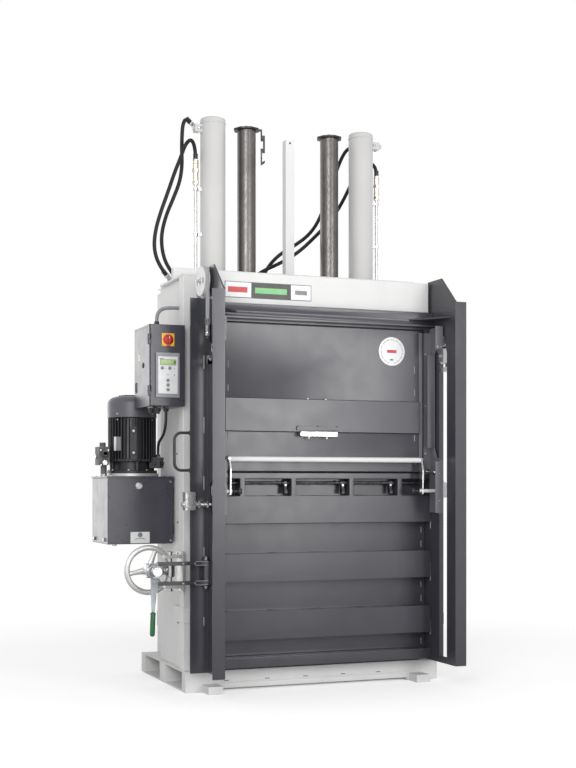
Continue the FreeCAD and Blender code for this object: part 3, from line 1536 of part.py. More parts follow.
# ---------------------------------------------------------------- door lock
node(
    "lock_bracket",
    cut(
        fuse(
            [
                box("-base_half-bracket_t", "-base_half", "-pivot_y-24", "-post_back",
                    "bracket_foot", "bracket_head"),
                box("-bracket_out", "-base_half", "-pivot_y-24", "-pivot_y+24",
                    "bracket_low_z-bracket_ear_t/2", "bracket_low_z+bracket_ear_t/2"),
                box("-bracket_out", "-base_half", "-pivot_y-24", "-pivot_y+24",
                    "bracket_high_z-bracket_ear_t/2", "bracket_high_z+bracket_ear_t/2"),
            ]
        ),
        [rod("z", "pivot_r", "bracket_foot", "bracket_head", "-pivot_x", "-pivot_y")],
    ),
)
node(
    "lock_arm",
    cut(
        fuse(
            [
                rod("z", "eye_r", "lock_z-eye_h/2", "lock_z+eye_h/2", "-pivot_x", "-pivot_y"),
                rod("x", "arm_bar_r", "-lock_x", "-pivot_x", "-pivot_y", "lock_z"),
                box("-lock_x-block_half", "-lock_x+block_half", "-block_a", "-block_b",
                    "lock_z-block_half", "lock_z+block_half"),
            ]
        ),
        [
            rod("z", "pivot_r+run_fit", "lock_z-eye_h", "lock_z+eye_h", "-pivot_x", "-pivot_y"),
            rod("y", "screw_r+run_fit", "-block_a-5", "-block_b+5", "-lock_x", "lock_z"),
        ],
    ),
)
node(
    "lock_screw",
    fuse(
        [
            rod("y", "screw_r", "-screw_front", "-screw_back", "-lock_x", "lock_z"),
            rod("y", "screw_r+9", "-screw_front", "-screw_front+14", "-lock_x", "lock_z"),
        ]
    ),
)
wheel_parts = [
    ring("y", "wheel_r", "wheel_tube_r", "-lock_x", "-wheel_y", "lock_z"),
    rod("y", "wheel_hub_r", "-wheel_hub_a", "-wheel_hub_b", "-lock_x", "lock_z"),
]
for turn in (20, 140, 260):
    spoke = doc.addObject("Part::Cylinder", "Spoke")
    spoke.setExpression("Radius", bound("spoke_r"))
    spoke.setExpression("Height", bound("wheel_r"))
    spoke.Placement = FreeCAD.Placement(
        FreeCAD.Vector(), FreeCAD.Rotation(FreeCAD.Vector(0, 1, 0), turn)
    )
    place(spoke, "-lock_x", "-wheel_y", "lock_z")
    wheel_parts.append(spoke)
node(
    "handwheel",
    cut(
        fuse(wheel_parts),
        [rod("y", "screw_r+run_fit", "-wheel_hub_a-5", "-wheel_hub_b+5", "-lock_x", "lock_z")],
    ),
)
lever_outline = [
    ("-lever_root/2", "-ratchet_r+8"),
    ("-lever_w/2", "-lever_len+grip_len"),
    ("lever_w/2", "-lever_len+grip_len"),
    ("lever_root/2", "-ratchet_r+8"),
]
lever = cut(
    fuse(
        [
            rod("y", "ratchet_r", "-ratchet_a", "-ratchet_b", "0", "0"),
            profile("XZ", "-ratchet_a+16", "-ratchet_a+16+lever_t", [lever_outline], "Lever"),
        ]
    ),
    [rod("y", "screw_r+run_fit", "-ratchet_a-5", "-ratchet_b+5", "0", "0")],
)
lever_lean = FreeCAD.Rotation(FreeCAD.Vector(0, 1, 0), VALUE["lever_turn"])
lever.Placement = FreeCAD.Placement(FreeCAD.Vector(), lever_lean)
place(lever, "-lock_x", "0", "lock_z")
node("ratchet_lever", lever)
grip_outline = [
    ("0", "-lever_len-10"),
    ("grip_r-7", "-lever_len-10"),
    ("grip_r-2", "-lever_len-6"),
    ("grip_r", "-lever_len+2"),
    ("grip_r", "-lever_len+grip_len-4"),
    ("grip_r-3", "-lever_len+grip_len"),
    ("0", "-lever_len+grip_len"),
]
grip = lathe(grip_outline, "-lock_x", "-ratchet_a+16+lever_t/2", "lock_z", "z", "Grip")
grip.Placement = FreeCAD.Placement(grip.Placement.Base, lever_lean)
node("lever_grip", grip)

# ---------------------------------------------------------------- control box
case = cut(
    box("-box_left", "-box_right", "-box_front", "-box_back", "box_low", "box_high"),
    [
        box("-box_left+box_t", "-box_right-box_t", "-box_front-5", "-box_back-box_t",
            "box_low+box_t", "box_high-box_t")
    ],
)
case_pads = [
    box("-box_right", "-base_half", "-post_front+4", "-post_back-4", "box_low+40", "box_low+100"),
    box("-box_right", "-base_half", "-post_front+4", "-post_back-4", "box_high-100", "box_high-40"),
]
case_ears = []
lid_ears = []
for height in ("case_hinge_low", "case_hinge_high"):
    case_ears.append(
        cut(
            fuse(
                [
                    rod("z", "case_hinge_r", height, height + "+case_hinge_h",
                        "-case_hinge_x", "-case_hinge_y"),
                    box("-case_hinge_x-case_hinge_r", "-box_left", "-case_hinge_y",
                        "-box_front+12", height, height + "+case_hinge_h"),
                ]
            ),
            [
                rod("z", "case_pin_r", height + "-5", height + "+case_hinge_h+5",
                    "-case_hinge_x", "-case_hinge_y")
            ],
        )
    )
    lid_ears.append(
        cut(
            fuse(
                [
                    rod("z", "case_hinge_r", height + "-case_hinge_h", height + "-1",
                        "-case_hinge_x", "-case_hinge_y"),
                    box("-case_hinge_x", "-box_left+4", "-box_front-door_gap-door_t+1",
                        "-box_front-door_gap-1", height + "-case_hinge_h", height + "-1"),
                ]
            ),
            [
                rod("z", "case_pin_r+run_fit", height + "-case_hinge_h-5", height + "+5",
                    "-case_hinge_x", "-case_hinge_y")
            ],
        )
    )
node("control_box", fuse([case] + case_pads + case_ears))
board_parts = [
    box("-box_left+14", "-box_right-14", "-box_back-box_t-8", "-box_back-box_t",
        "box_low+16", "box_high-16"),
    box("-box_left+30", "-box_right-30", "-box_back-box_t-80", "-box_back-box_t-8",
        "box_high-130", "box_high-60"),
    box("-box_left+30", "-box_right-60", "-box_back-box_t-66", "-box_back-box_t-8",
        "box_low+170", "box_low+240"),
    box("-box_left+30", "-box_right-30", "-box_back-box_t-44", "-box_back-box_t-8",
        "box_low+50", "box_low+100"),
]
node("control_board", fuse(board_parts))
lid_outer = box("-box_left+4", "-box_right-4", "-box_front-door_gap-door_t",
                "-box_front-door_gap", "box_low+2", "box_high-2")
lid_inner = box("-box_left+7", "-box_right-7", "-box_front-door_gap-door_t+3",
                "-box_front-door_gap+5", "box_low+5", "box_high-5")
node("control_door", fuse([cut(lid_outer, [lid_inner])] + lid_ears))
DOOR_FACE = "-box_front-door_gap-door_t"
node(
    "keypad",
    fuse(
        [
            box("-keypad_x-keypad_half_w", "-keypad_x+keypad_half_w",
                DOOR_FACE + "-keypad_t", DOOR_FACE,
                "keypad_z-keypad_half_h", "keypad_z+keypad_half_h"),
            box("-keypad_x-foil_half_w", "-keypad_x+foil_half_w",
                DOOR_FACE + "-keypad_t-foil_t", DOOR_FACE + "-keypad_t",
                "keypad_z-foil_half_h", "keypad_z+foil_half_h"),
        ]
    ),
)
node(
    "switch_plate",
    box("-switch_x-switch_half", "-switch_x+switch_half", DOOR_FACE + "-switch_t", DOOR_FACE,
        "switch_z-switch_half", "switch_z+switch_half"),
)
node(
    "switch_knob",
    fuse(
        [
            rod("y", "knob_r", DOOR_FACE + "-switch_t-knob_t", DOOR_FACE + "-switch_t",
                "-switch_x", "switch_z"),
            box("-switch_x-knob_r", "-switch_x+knob_r",
                DOOR_FACE + "-switch_t-knob_t-knob_out", DOOR_FACE + "-switch_t-knob_t",
                "switch_z-knob_bar/2", "switch_z+knob_bar/2"),
        ]
    ),
)

# ---------------------------------------------------------------- power pack
tank_shell = cut(
    box("-tank_left", "-tank_right", "-tank_front", "tank_back", "tank_low", "tank_high"),
    [
        box("-tank_left+tank_t", "-tank_right-tank_t", "-tank_front+tank_t", "tank_back-tank_t",
            "tank_low+tank_t", "tank_high+5")
    ],
)
tank_pads = [
    box("-tank_right", "-cheek_x", "-tank_front+30", "cheek_back-30", low, high)
    for low, high in (("tank_low+50", "tank_low+90"), ("tank_high-90", "tank_high-50"))
]
node("oil_tank", fuse([tank_shell] + tank_pads))
node(
    "tank_lid",
    box("-tank_left-lid_over", "-tank_right+lid_over", "-tank_front-lid_over",
        "tank_back+lid_over", "tank_high", "tank_high+lid_t"),
)
MOTOR_FOOT = "tank_high+lid_t"
flange_outline = [
    ("0", MOTOR_FOOT),
    ("flange_r", MOTOR_FOOT),
    ("flange_r", MOTOR_FOOT + "+flange_bright"),
    ("flange_r-flange_step", MOTOR_FOOT + "+flange_bright"),
    ("flange_r-flange_step", MOTOR_FOOT + "+flange_h"),
    ("neck_r", MOTOR_FOOT + "+flange_h"),
    ("neck_r", MOTOR_FOOT + "+flange_h+neck_h"),
    ("0", MOTOR_FOOT + "+flange_h+neck_h"),
]
FIN_COUNT = 40
flange_parts = [lathe(flange_outline, "-motor_x", "motor_y", "0", "z", "MotorFlange")]
for x_shift, y_shift in (("-boss_at", ""), ("+boss_at", ""), ("", "-boss_at"), ("", "+boss_at")):
    flange_parts.append(
        rod("z", "boss_r", MOTOR_FOOT + "+flange_bright", MOTOR_FOOT + "+flange_h+neck_h",
            "-motor_x" + x_shift, "motor_y" + y_shift)
    )
node("motor_flange", fuse(flange_parts))
BODY_FOOT = MOTOR_FOOT + "+flange_h+neck_h"
motor_parts = [
    rod("z", "core_r", BODY_FOOT, BODY_FOOT + "+fin_h", "-motor_x", "motor_y"),
    rod("z", "fin_r-3", BODY_FOOT, BODY_FOOT + "+collar_h", "-motor_x", "motor_y"),
]
for index in range(FIN_COUNT):
    fin = doc.addObject("Part::Box", "Fin")
    fin.setExpression("Length", bound("fin_r-neck_r"))
    fin.setExpression("Width", bound("fin_t"))
    fin.setExpression("Height", bound("fin_h"))
    turn = 2 * math.pi * (index + 0.5) / FIN_COUNT
    fin.Placement = FreeCAD.Placement(
        FreeCAD.Vector(), FreeCAD.Rotation(FreeCAD.Vector(0, 0, 1), math.degrees(turn))
    )
    across_fin = (math.cos(turn), math.sin(turn))
    place(
        fin,
        "-motor_x+neck_r*(%.6f)+fin_t/2*(%.6f)" % across_fin,
        "motor_y+neck_r*(%.6f)-fin_t/2*(%.6f)" % (across_fin[1], across_fin[0]),
        BODY_FOOT,
    )
    motor_parts.append(fin)
lean = math.radians(VALUE["terminal_turn"])
terminal_box = doc.addObject("Part::Box", "TerminalBox")
terminal_box.setExpression("Length", bound("terminal_end-neck_r-1"))
terminal_box.setExpression("Width", bound("2*terminal_half"))
terminal_box.setExpression("Height", bound("terminal_high-terminal_low"))
terminal_box.Placement = FreeCAD.Placement(
    FreeCAD.Vector(), FreeCAD.Rotation(FreeCAD.Vector(0, 0, 1), VALUE["terminal_turn"])
)
place(
    terminal_box,
    "-motor_x+(neck_r+1)*(%.6f)+terminal_half*(%.6f)" % (math.cos(lean), math.sin(lean)),
    "motor_y+(neck_r+1)*(%.6f)-terminal_half*(%.6f)" % (math.sin(lean), math.cos(lean)),
    "terminal_low",
)
motor_parts.append(terminal_box)
node("motor_body", fuse(motor_parts))
COWL_FOOT = BODY_FOOT + "+fin_h"
cowl_outline = [
    ("0", COWL_FOOT),
    ("cowl_r", COWL_FOOT),
    ("cowl_r", COWL_FOOT + "+cowl_h-cowl_edge"),
    ("cowl_r-8", COWL_FOOT + "+cowl_h-cowl_edge+16"),
    ("cowl_r-26", COWL_FOOT + "+cowl_h-6"),
    ("cowl_r-50", COWL_FOOT + "+cowl_h"),
    ("0", COWL_FOOT + "+cowl_h"),
]
node("motor_cowl", lathe(cowl_outline, "-motor_x", "motor_y", "0", "z", "MotorCowl"))
node(
    "valve_block",
    fuse(
        [
            box("-valve_left", "-valve_right", "-valve_front", "valve_back",
                MOTOR_FOOT + "+valve_foot", MOTOR_FOOT + "+valve_h"),
            rod("z", "valve_leg_r", MOTOR_FOOT, MOTOR_FOOT + "+valve_foot+5",
                "-valve_right-24", "-valve_front/2"),
            rod("y", "valve_leg_r-2", "-valve_front-26", "-valve_front",
                "-valve_left/2-valve_right/2", MOTOR_FOOT + "+valve_h-30"),
            rod("z", "valve_leg_r", MOTOR_FOOT + "+valve_h", MOTOR_FOOT + "+valve_h+22",
                "-valve_left/2-valve_right/2", "-valve_front/3"),
        ]
    ),
)

# ---------------------------------------------------------------- cables
LEAD_GLAND = (-742.3, -64.2)
MOTOR_LEAD = [
    (-775, -330, 1403),
    (-775, -330, 1362),
    (-772, -304, 1318),
    (-764, -240, 1286),
    (-754, -160, 1270),
    (-746, -96, 1256),
    (*LEAD_GLAND, 1226),
    (*LEAD_GLAND, 1194),
]
CONDUIT = [
    (-805, -265, 1861),
    (-805, -265, 1891),
    (-790, -265, 1917),
    (-763, -265, 1931),
    (-706, -265, 1934),
    (-652, -265, 1934),
]
node(
    "control_cables",
    fuse(
        [
            tube_along(MOTOR_LEAD, "cable_r", "MotorLead"),
            tube_along(CONDUIT, "conduit_r", "Conduit"),
        ]
    ),
)
gland_parts = [
    rod("z", "gland_r", "box_high", "box_high+top_gland_h", "-top_gland_x", "-top_gland_y"),
    rod("x", "gland_r", "-channel_in-wall_gland_h", "-channel_in", "-top_gland_y", "wall_gland_z"),
    rod("z", "lead_gland_r", "terminal_high", "terminal_high+lead_gland_h", *map(str, LEAD_GLAND)),
]
for index in range(3):
    gland_parts.append(
        rod("z", "gland_r", "box_low-gland_h", "box_low",
            "-gland_x-%d*gland_step" % index, "-gland_y")
    )
node("cable_glands", fuse(gland_parts))

# ---------------------------------------------------------------- check and write
doc.recompute()
for item in doc.Objects:
    states = " ".join(item.State)
    if "Invalid" in states or "Error" in states:
        raise RuntimeError("failed: %s (%s) %s" % (item.Label, item.Name, states))
labels = [item.Label for item in NODES]
if len(set(labels)) != len(labels):
    raise RuntimeError("a name is used twice")
for item in NODES:
    shape = item.Shape
    if shape.isNull() or not shape.isValid() or shape.Volume <= 0:
        raise RuntimeError("bad shape: " + item.Label)
    shape.exportStep("parts/%s.step" % item.Label)
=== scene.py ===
import json
import math
import random
from itertools import count, product

import bmesh
import bpy
from mathutils import Matrix, Vector

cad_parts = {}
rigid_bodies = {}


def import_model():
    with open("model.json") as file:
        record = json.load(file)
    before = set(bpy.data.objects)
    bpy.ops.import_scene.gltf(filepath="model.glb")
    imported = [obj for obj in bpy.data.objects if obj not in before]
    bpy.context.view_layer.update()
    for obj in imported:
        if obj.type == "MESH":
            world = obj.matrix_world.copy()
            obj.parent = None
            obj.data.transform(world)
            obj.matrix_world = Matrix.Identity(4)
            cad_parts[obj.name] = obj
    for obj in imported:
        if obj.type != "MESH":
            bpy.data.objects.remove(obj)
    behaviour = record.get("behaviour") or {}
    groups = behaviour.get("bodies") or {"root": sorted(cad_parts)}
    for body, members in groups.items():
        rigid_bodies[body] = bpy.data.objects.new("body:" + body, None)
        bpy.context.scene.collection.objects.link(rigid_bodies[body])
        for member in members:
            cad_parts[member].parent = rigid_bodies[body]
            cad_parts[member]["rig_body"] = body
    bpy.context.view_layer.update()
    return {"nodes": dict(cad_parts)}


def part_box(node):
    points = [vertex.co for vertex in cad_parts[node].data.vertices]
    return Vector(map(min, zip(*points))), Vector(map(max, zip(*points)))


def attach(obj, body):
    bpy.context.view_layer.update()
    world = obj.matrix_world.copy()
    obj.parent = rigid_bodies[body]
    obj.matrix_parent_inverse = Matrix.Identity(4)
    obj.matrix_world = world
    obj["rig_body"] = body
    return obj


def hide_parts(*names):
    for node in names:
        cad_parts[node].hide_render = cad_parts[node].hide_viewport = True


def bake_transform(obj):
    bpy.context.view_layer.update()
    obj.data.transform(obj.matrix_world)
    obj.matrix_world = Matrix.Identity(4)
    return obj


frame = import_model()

# Metres, in the frame of the solids: the floor is z = 0, the doors face -Y, +X is to the right.
X = Vector((1, 0, 0))
Y = Vector((0, 1, 0))
Z = Vector((0, 0, 1))
SIDES = (-1, 1)
SQUARE = ((-1, -1), (1, -1), (1, 1), (-1, 1))
NODE_BODY = {node: made["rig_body"] for node, made in frame["nodes"].items()}


# ------------------------------------------------------------------ finishes
class Nodes:
    """The node tree of a material or of the world."""

    def __init__(self, owner):
        owner.use_nodes = True
        self.tree = owner.node_tree
        self.tree.nodes.clear()

    def add(self, kind, inputs=None, **settings):
        """A node. inputs gives its sockets a value each, or another node's output."""
        node = self.tree.nodes.new("ShaderNode" + kind)
        for name, value in settings.items():
            setattr(node, name, value)
        for name, value in (inputs or {}).items():
            if isinstance(value, bpy.types.NodeSocket):
                self.tree.links.new(value, node.inputs[name])
            else:
                node.inputs[name].default_value = value
        return node


class Finish(Nodes):
    """A material: one shader and the textures that feed it."""

    def __init__(self, name):
        self.material = bpy.data.materials.new(name)
        super().__init__(self.material)
        self.shader = self.add("BsdfPrincipled")
        self.add("OutputMaterial", {"Surface": self.shader.outputs[0]})
        self.place = self.add("TexCoord").outputs["Object"]

    def feed(self, name, value):
        self.tree.links.new(value, self.shader.inputs[name])

    def set(self, **values):
        for name, value in values.items():
            self.shader.inputs[name.replace("_", " ")].default_value = value

    def stretched(self, scale):
        return self.add("Mapping", {"Scale": scale, "Vector": self.place}).outputs["Vector"]

    def grain(self, scale, detail=3.0, vector=None):
        inputs = {"Scale": scale, "Detail": detail, "Vector": vector or self.place}
        return self.add("TexNoise", inputs).outputs["Fac"]

    def cells(self, scale):
        return self.add("TexVoronoi", {"Scale": scale, "Vector": self.place}).outputs["Distance"]

    def waves(self, scale, direction="Z", distortion=0.0):
        inputs = {"Scale": scale, "Distortion": distortion, "Vector": self.place}
        return self.add("TexWave", inputs, bands_direction=direction).outputs["Fac"]

    def spread(self, value, low, high, first=0.0, last=1.0):
        inputs = {"Value": value, "From Min": low, "From Max": high,
                  "To Min": first, "To Max": last}
        return self.add("MapRange", inputs).outputs["Result"]

    def blend(self, share, *tones):
        first, second = ((*tone, 1.0) if isinstance(tone, tuple) else tone for tone in tones)
        inputs = {"Factor": share, 6: first, 7: second}
        return self.add("Mix", inputs, data_type="RGBA").outputs[2]

    def rough(self, value, low, high):
        self.feed("Roughness", self.spread(value, 0.3, 0.7, low, high))

    def relief(self, *layers):
        """Bump layers, each a height, a strength and a depth in metres."""
        below = {}
        for height, strength, depth in layers:
            inputs = {"Strength": strength, "Distance": depth, "Height": height, **below}
            below = {"Normal": self.add("Bump", inputs).outputs["Normal"]}
        self.feed("Normal", below["Normal"])


def dimmed(tone, share):
    return tuple(share * part for part in tone)


def powder_coat(name, colour, other, low=0.38, high=0.5, gloss=0.5):
    """Sprayed and baked paint: slow shifts of tone, faint runs and a fine orange peel."""
    made = Finish(name)
    clouds = made.grain(2.2, 4.0)
    runs = made.grain(9.0, 3.0, made.stretched((1.0, 1.0, 0.12)))
    tone = made.blend(made.spread(clouds, 0.35, 0.65), colour, other)
    stain = made.spread(runs, 0.45, 0.7, 0.0, 0.45)
    made.feed("Base Color", made.blend(stain, tone, dimmed(other, 0.965)))
    made.rough(made.grain(14.0, 4.0), low, high)
    made.relief((made.grain(420, 2.0), 0.35, 0.00025), (made.grain(1680, 1.0), 0.18, 0.0001))
    made.set(IOR=1.5, Specular_IOR_Level=gloss)
    return made.material


def bare_metal(name, colour, other, low, high, stretch, lines=180.0):
    """Ground, drawn or plated metal with its tool lines along one direction."""
    made = Finish(name)
    strokes = made.grain(lines, 4.0, made.stretched(stretch))
    tone = made.blend(made.spread(strokes, 0.35, 0.65), colour, other)
    dull = made.spread(made.grain(7.0, 4.0), 0.5, 0.75, 0.0, 0.6)
    made.feed("Base Color", made.blend(dull, tone, dimmed(other, 0.72)))
    made.rough(strokes, low, high)
    made.relief((strokes, 0.35, 0.00006))
    made.set(Metallic=1.0)
    return made.material


def cast_skin(name, colour, other, low, high, metallic):
    """Cast metal: a pebbled skin with darker pits."""
    made = Finish(name)
    pebbles = made.cells(520.0)
    clouds = made.grain(18.0, 5.0)
    tone = made.blend(made.spread(clouds, 0.35, 0.7), colour, other)
    pits = made.spread(pebbles, 0.0, 0.35, 0.35, 0.0)
    made.feed("Base Color", made.blend(pits, tone, dimmed(other, 0.6)))
    made.rough(clouds, low, high)
    made.relief((made.grain(260.0, 4.0), 0.5, 0.0004), (pebbles, 0.2, 0.0002))
    made.set(Metallic=metallic)
    return made.material


def moulded(name, colour, other, low, high, texture=900.0, depth=0.00012):
    """Moulded plastic or rubber with a fine spark-eroded texture."""
    made = Finish(name)
    clouds = made.spread(made.grain(30.0, 4.0), 0.35, 0.7)
    made.feed("Base Color", made.blend(clouds, colour, other))
    made.rough(made.grain(60.0, 3.0), low, high)
    made.relief((made.grain(texture, 2.0), 0.4, depth))
    made.set(IOR=1.48)
    return made.material


def hose_skin(name):
    """Wrapped rubber cover with the print of its cloth wrap."""
    made = Finish(name)
    clouds = made.grain(25.0, 3.0)
    tone = made.blend(made.spread(clouds, 0.3, 0.7), (0.007, 0.007, 0.0075), (0.016, 0.016, 0.017))
    made.feed("Base Color", tone)
    made.rough(clouds, 0.38, 0.55)
    wrap = made.waves(190.0, "DIAGONAL", 0.4)
    made.relief((wrap, 0.25, 0.0003), (made.grain(900.0, 2.0), 0.2, 0.0001))
    made.set(Specular_IOR_Level=0.25)
    return made.material


def woven_belt(name):
    """Flat woven belt: crossed ribs and dusty threads."""
    made = Finish(name)
    across = made.waves(260.0, "Z")
    along = made.waves(300.0, "X")
    weave = made.blend(across, (0.42, 0.42, 0.43), (0.5, 0.5, 0.51))
    dust = made.spread(along, 0.2, 0.9, 0.0, 0.5)
    made.feed("Base Color", made.blend(dust, weave, (0.34, 0.34, 0.35)))
    made.rough(made.grain(80.0), 0.75, 0.9)
    made.relief((across, 0.5, 0.0004), (along, 0.5, 0.0003))
    made.set(Sheen_Weight=0.2)
    return made.material


def lit_screen(name):
    """Display glass over rows of faint dark dots."""
    made = Finish(name)
    rows = made.spread(made.waves(95.0, "Z"), 0.3, 0.8)
    dots = made.spread(made.waves(120.0, "X"), 0.55, 0.95, 0.0, 0.35)
    cells = made.blend(rows, (0.36, 0.48, 0.16), (0.52, 0.66, 0.27))
    made.feed("Base Color", made.blend(dots, cells, (0.25, 0.36, 0.1)))
    made.rough(made.grain(40.0), 0.12, 0.2)
    made.relief((made.grain(300.0), 0.05, 0.00005))
    made.set(Coat_Weight=0.6, Coat_Roughness=0.05)
    return made.material


# Each finish: the material slot of the solids that it stands for, its maker, and what that takes.
FINISHES = {
    "white": ("white_paint", powder_coat, "white_coat",
              (0.74, 0.74, 0.735), (0.7, 0.7, 0.695), 0.5, 0.62, 0.12),
    "cylinder": ("cylinder_paint", powder_coat, "cylinder_enamel",
                 (0.6, 0.595, 0.59), (0.555, 0.55, 0.545), 0.4, 0.5, 0.35),
    "door": ("dark_paint", powder_coat, "door_coat",
             (0.052, 0.0525, 0.063), (0.042, 0.0425, 0.052), 0.21, 0.27, 0.45),
    "carriage": ("dark_paint", powder_coat, "carriage_coat",
                 (0.15, 0.151, 0.165), (0.128, 0.129, 0.142), 0.27, 0.34, 0.5),
    # Weld paint paler than the door paint: a painted highlight on the real weld beads, standing in
    # for their bright reflection.
    "stitch": ("dark_paint", powder_coat, "coated_weld",
               (0.3, 0.3, 0.32), (0.24, 0.24, 0.26), 0.3, 0.4),
    "case": ("tank_paint", powder_coat, "case_coat",
             (0.052, 0.05, 0.066), (0.043, 0.041, 0.056), 0.26, 0.34, 0.7),
    "platen": ("platen_paint", powder_coat, "platen_coat",
               (0.17, 0.17, 0.18), (0.12, 0.12, 0.13), 0.5, 0.65),
    "motor": ("motor_paint", powder_coat, "motor_enamel",
              (0.017, 0.016, 0.021), (0.011, 0.01, 0.014), 0.34, 0.44),
    "cowl": ("cowl_paint", powder_coat, "cowl_enamel",
             (0.105, 0.105, 0.122), (0.082, 0.082, 0.098), 0.3, 0.42),
    "column": ("column_steel", bare_metal, "ground_column",
               (0.17, 0.162, 0.157), (0.12, 0.113, 0.11), 0.3, 0.42, (1, 1, 0.25)),
    "chrome": ("rod_chrome", bare_metal, "hard_chrome",
               (0.78, 0.78, 0.78), (0.66, 0.66, 0.67), 0.1, 0.2, (1, 1, 0.05), 90.0),
    "zinc": ("plated_steel", bare_metal, "zinc_plate",
             (0.7, 0.7, 0.7), (0.5, 0.5, 0.5), 0.24, 0.38, (1, 1, 1), 120.0),
    "brass": ("bush_bronze", bare_metal, "turned_brass",
              (0.86, 0.78, 0.62), (0.72, 0.64, 0.48), 0.25, 0.36, (0.2, 0.2, 1), 160.0),
    "steel": ("lever_steel", bare_metal, "drawn_steel",
              (0.44, 0.46, 0.48), (0.3, 0.32, 0.34), 0.3, 0.42, (1, 1, 0.1), 150.0),
    "black_steel": ("dark_steel", bare_metal, "black_steel",
                    (0.09, 0.09, 0.095), (0.05, 0.05, 0.055), 0.4, 0.55, (1, 1, 1), 60.0),
    "alloy": ("wheel_metal", cast_skin, "cast_alloy",
              (0.66, 0.66, 0.645), (0.54, 0.54, 0.53), 0.36, 0.5, 0.6),
    "board": ("board_plastic", moulded, "circuit_board",
              (0.05, 0.16, 0.075), (0.035, 0.12, 0.055), 0.3, 0.4),
    "pale": ("name_white", moulded, "pale_field",
             (0.62, 0.6, 0.36), (0.54, 0.52, 0.3), 0.36, 0.46),
    "iron": ("weight_iron", cast_skin, "cast_iron",
             (0.13, 0.13, 0.13), (0.08, 0.08, 0.08), 0.55, 0.7, 0.4),
    "rubber": ("hose_rubber", hose_skin, "hose_cover"),
    "sheath": ("cable_sheath", moulded, "cable_sheath",
               (0.008, 0.008, 0.009), (0.016, 0.016, 0.017), 0.4, 0.52),
    "black": ("cable_sheath", moulded, "black_plastic",
              (0.018, 0.018, 0.02), (0.034, 0.034, 0.036), 0.34, 0.46),
    "grey": ("stud_nylon", moulded, "grey_plastic",
             (0.3, 0.305, 0.32), (0.26, 0.265, 0.28), 0.4, 0.5),
    "nylon": ("pulley_white", moulded, "white_nylon",
              (0.74, 0.745, 0.74), (0.66, 0.665, 0.66), 0.42, 0.52),
    "foil": ("keypad_face", moulded, "white_foil",
             (0.74, 0.745, 0.75), (0.7, 0.705, 0.71), 0.3, 0.38, 1600.0, 0.00004),
    "key": ("keypad_face", moulded, "grey_key",
            (0.2, 0.205, 0.215), (0.15, 0.155, 0.165), 0.35, 0.45),
    "yellow": ("switch_yellow", moulded, "yellow_plastic",
               (0.9, 0.52, 0.075), (0.8, 0.44, 0.05), 0.28, 0.36),
    "red": ("switch_red", moulded, "red_plastic",
            (0.52, 0.035, 0.012), (0.42, 0.024, 0.01), 0.2, 0.28),
    "green": ("grip_green", moulded, "green_grip",
              (0.022, 0.135, 0.048), (0.014, 0.1, 0.034), 0.45, 0.58, 500.0, 0.0003),
    "print_black": ("name_white", moulded, "black_print",
                    (0.016, 0.018, 0.017), (0.024, 0.026, 0.025), 0.3, 0.4, 1500.0, 0.00003),
    "print_red": ("name_white", moulded, "red_print",
                  (0.52, 0.03, 0.035), (0.45, 0.024, 0.03), 0.32, 0.42, 1500.0, 0.00003),
    "print_green": ("name_white", moulded, "green_print",
                    (0.19, 0.5, 0.2), (0.16, 0.44, 0.17), 0.32, 0.42, 1500.0, 0.00003),
    "belt": ("belt_fabric", woven_belt, "belt_weave"),
    "screen": ("keypad_face", lit_screen, "display"),
}
FINISH = {name: maker(*values) for name, (_, maker, *values) in FINISHES.items()}


# ------------------------------------------------------------------ mesh code
def facing(spot, direction):
    """A frame at a point whose own z looks along a direction."""
    turn = Vector(direction).normalized().to_track_quat("Z", "Y")
    return Matrix.Translation(Vector(spot)) @ turn.to_matrix().to_4x4()


def spread_out(low, high, number):
    return [low + (high - low) * step / (number - 1) for step in range(number)]


def circle(spot, radius, number, shift=0.0):
    """Spots evenly round an upright axis through a spot."""
    turns = [math.tau * (step + shift) / number for step in range(number)]
    return [(spot[0] + radius * math.cos(turn), spot[1] + radius * math.sin(turn), spot[2])
            for turn in turns]


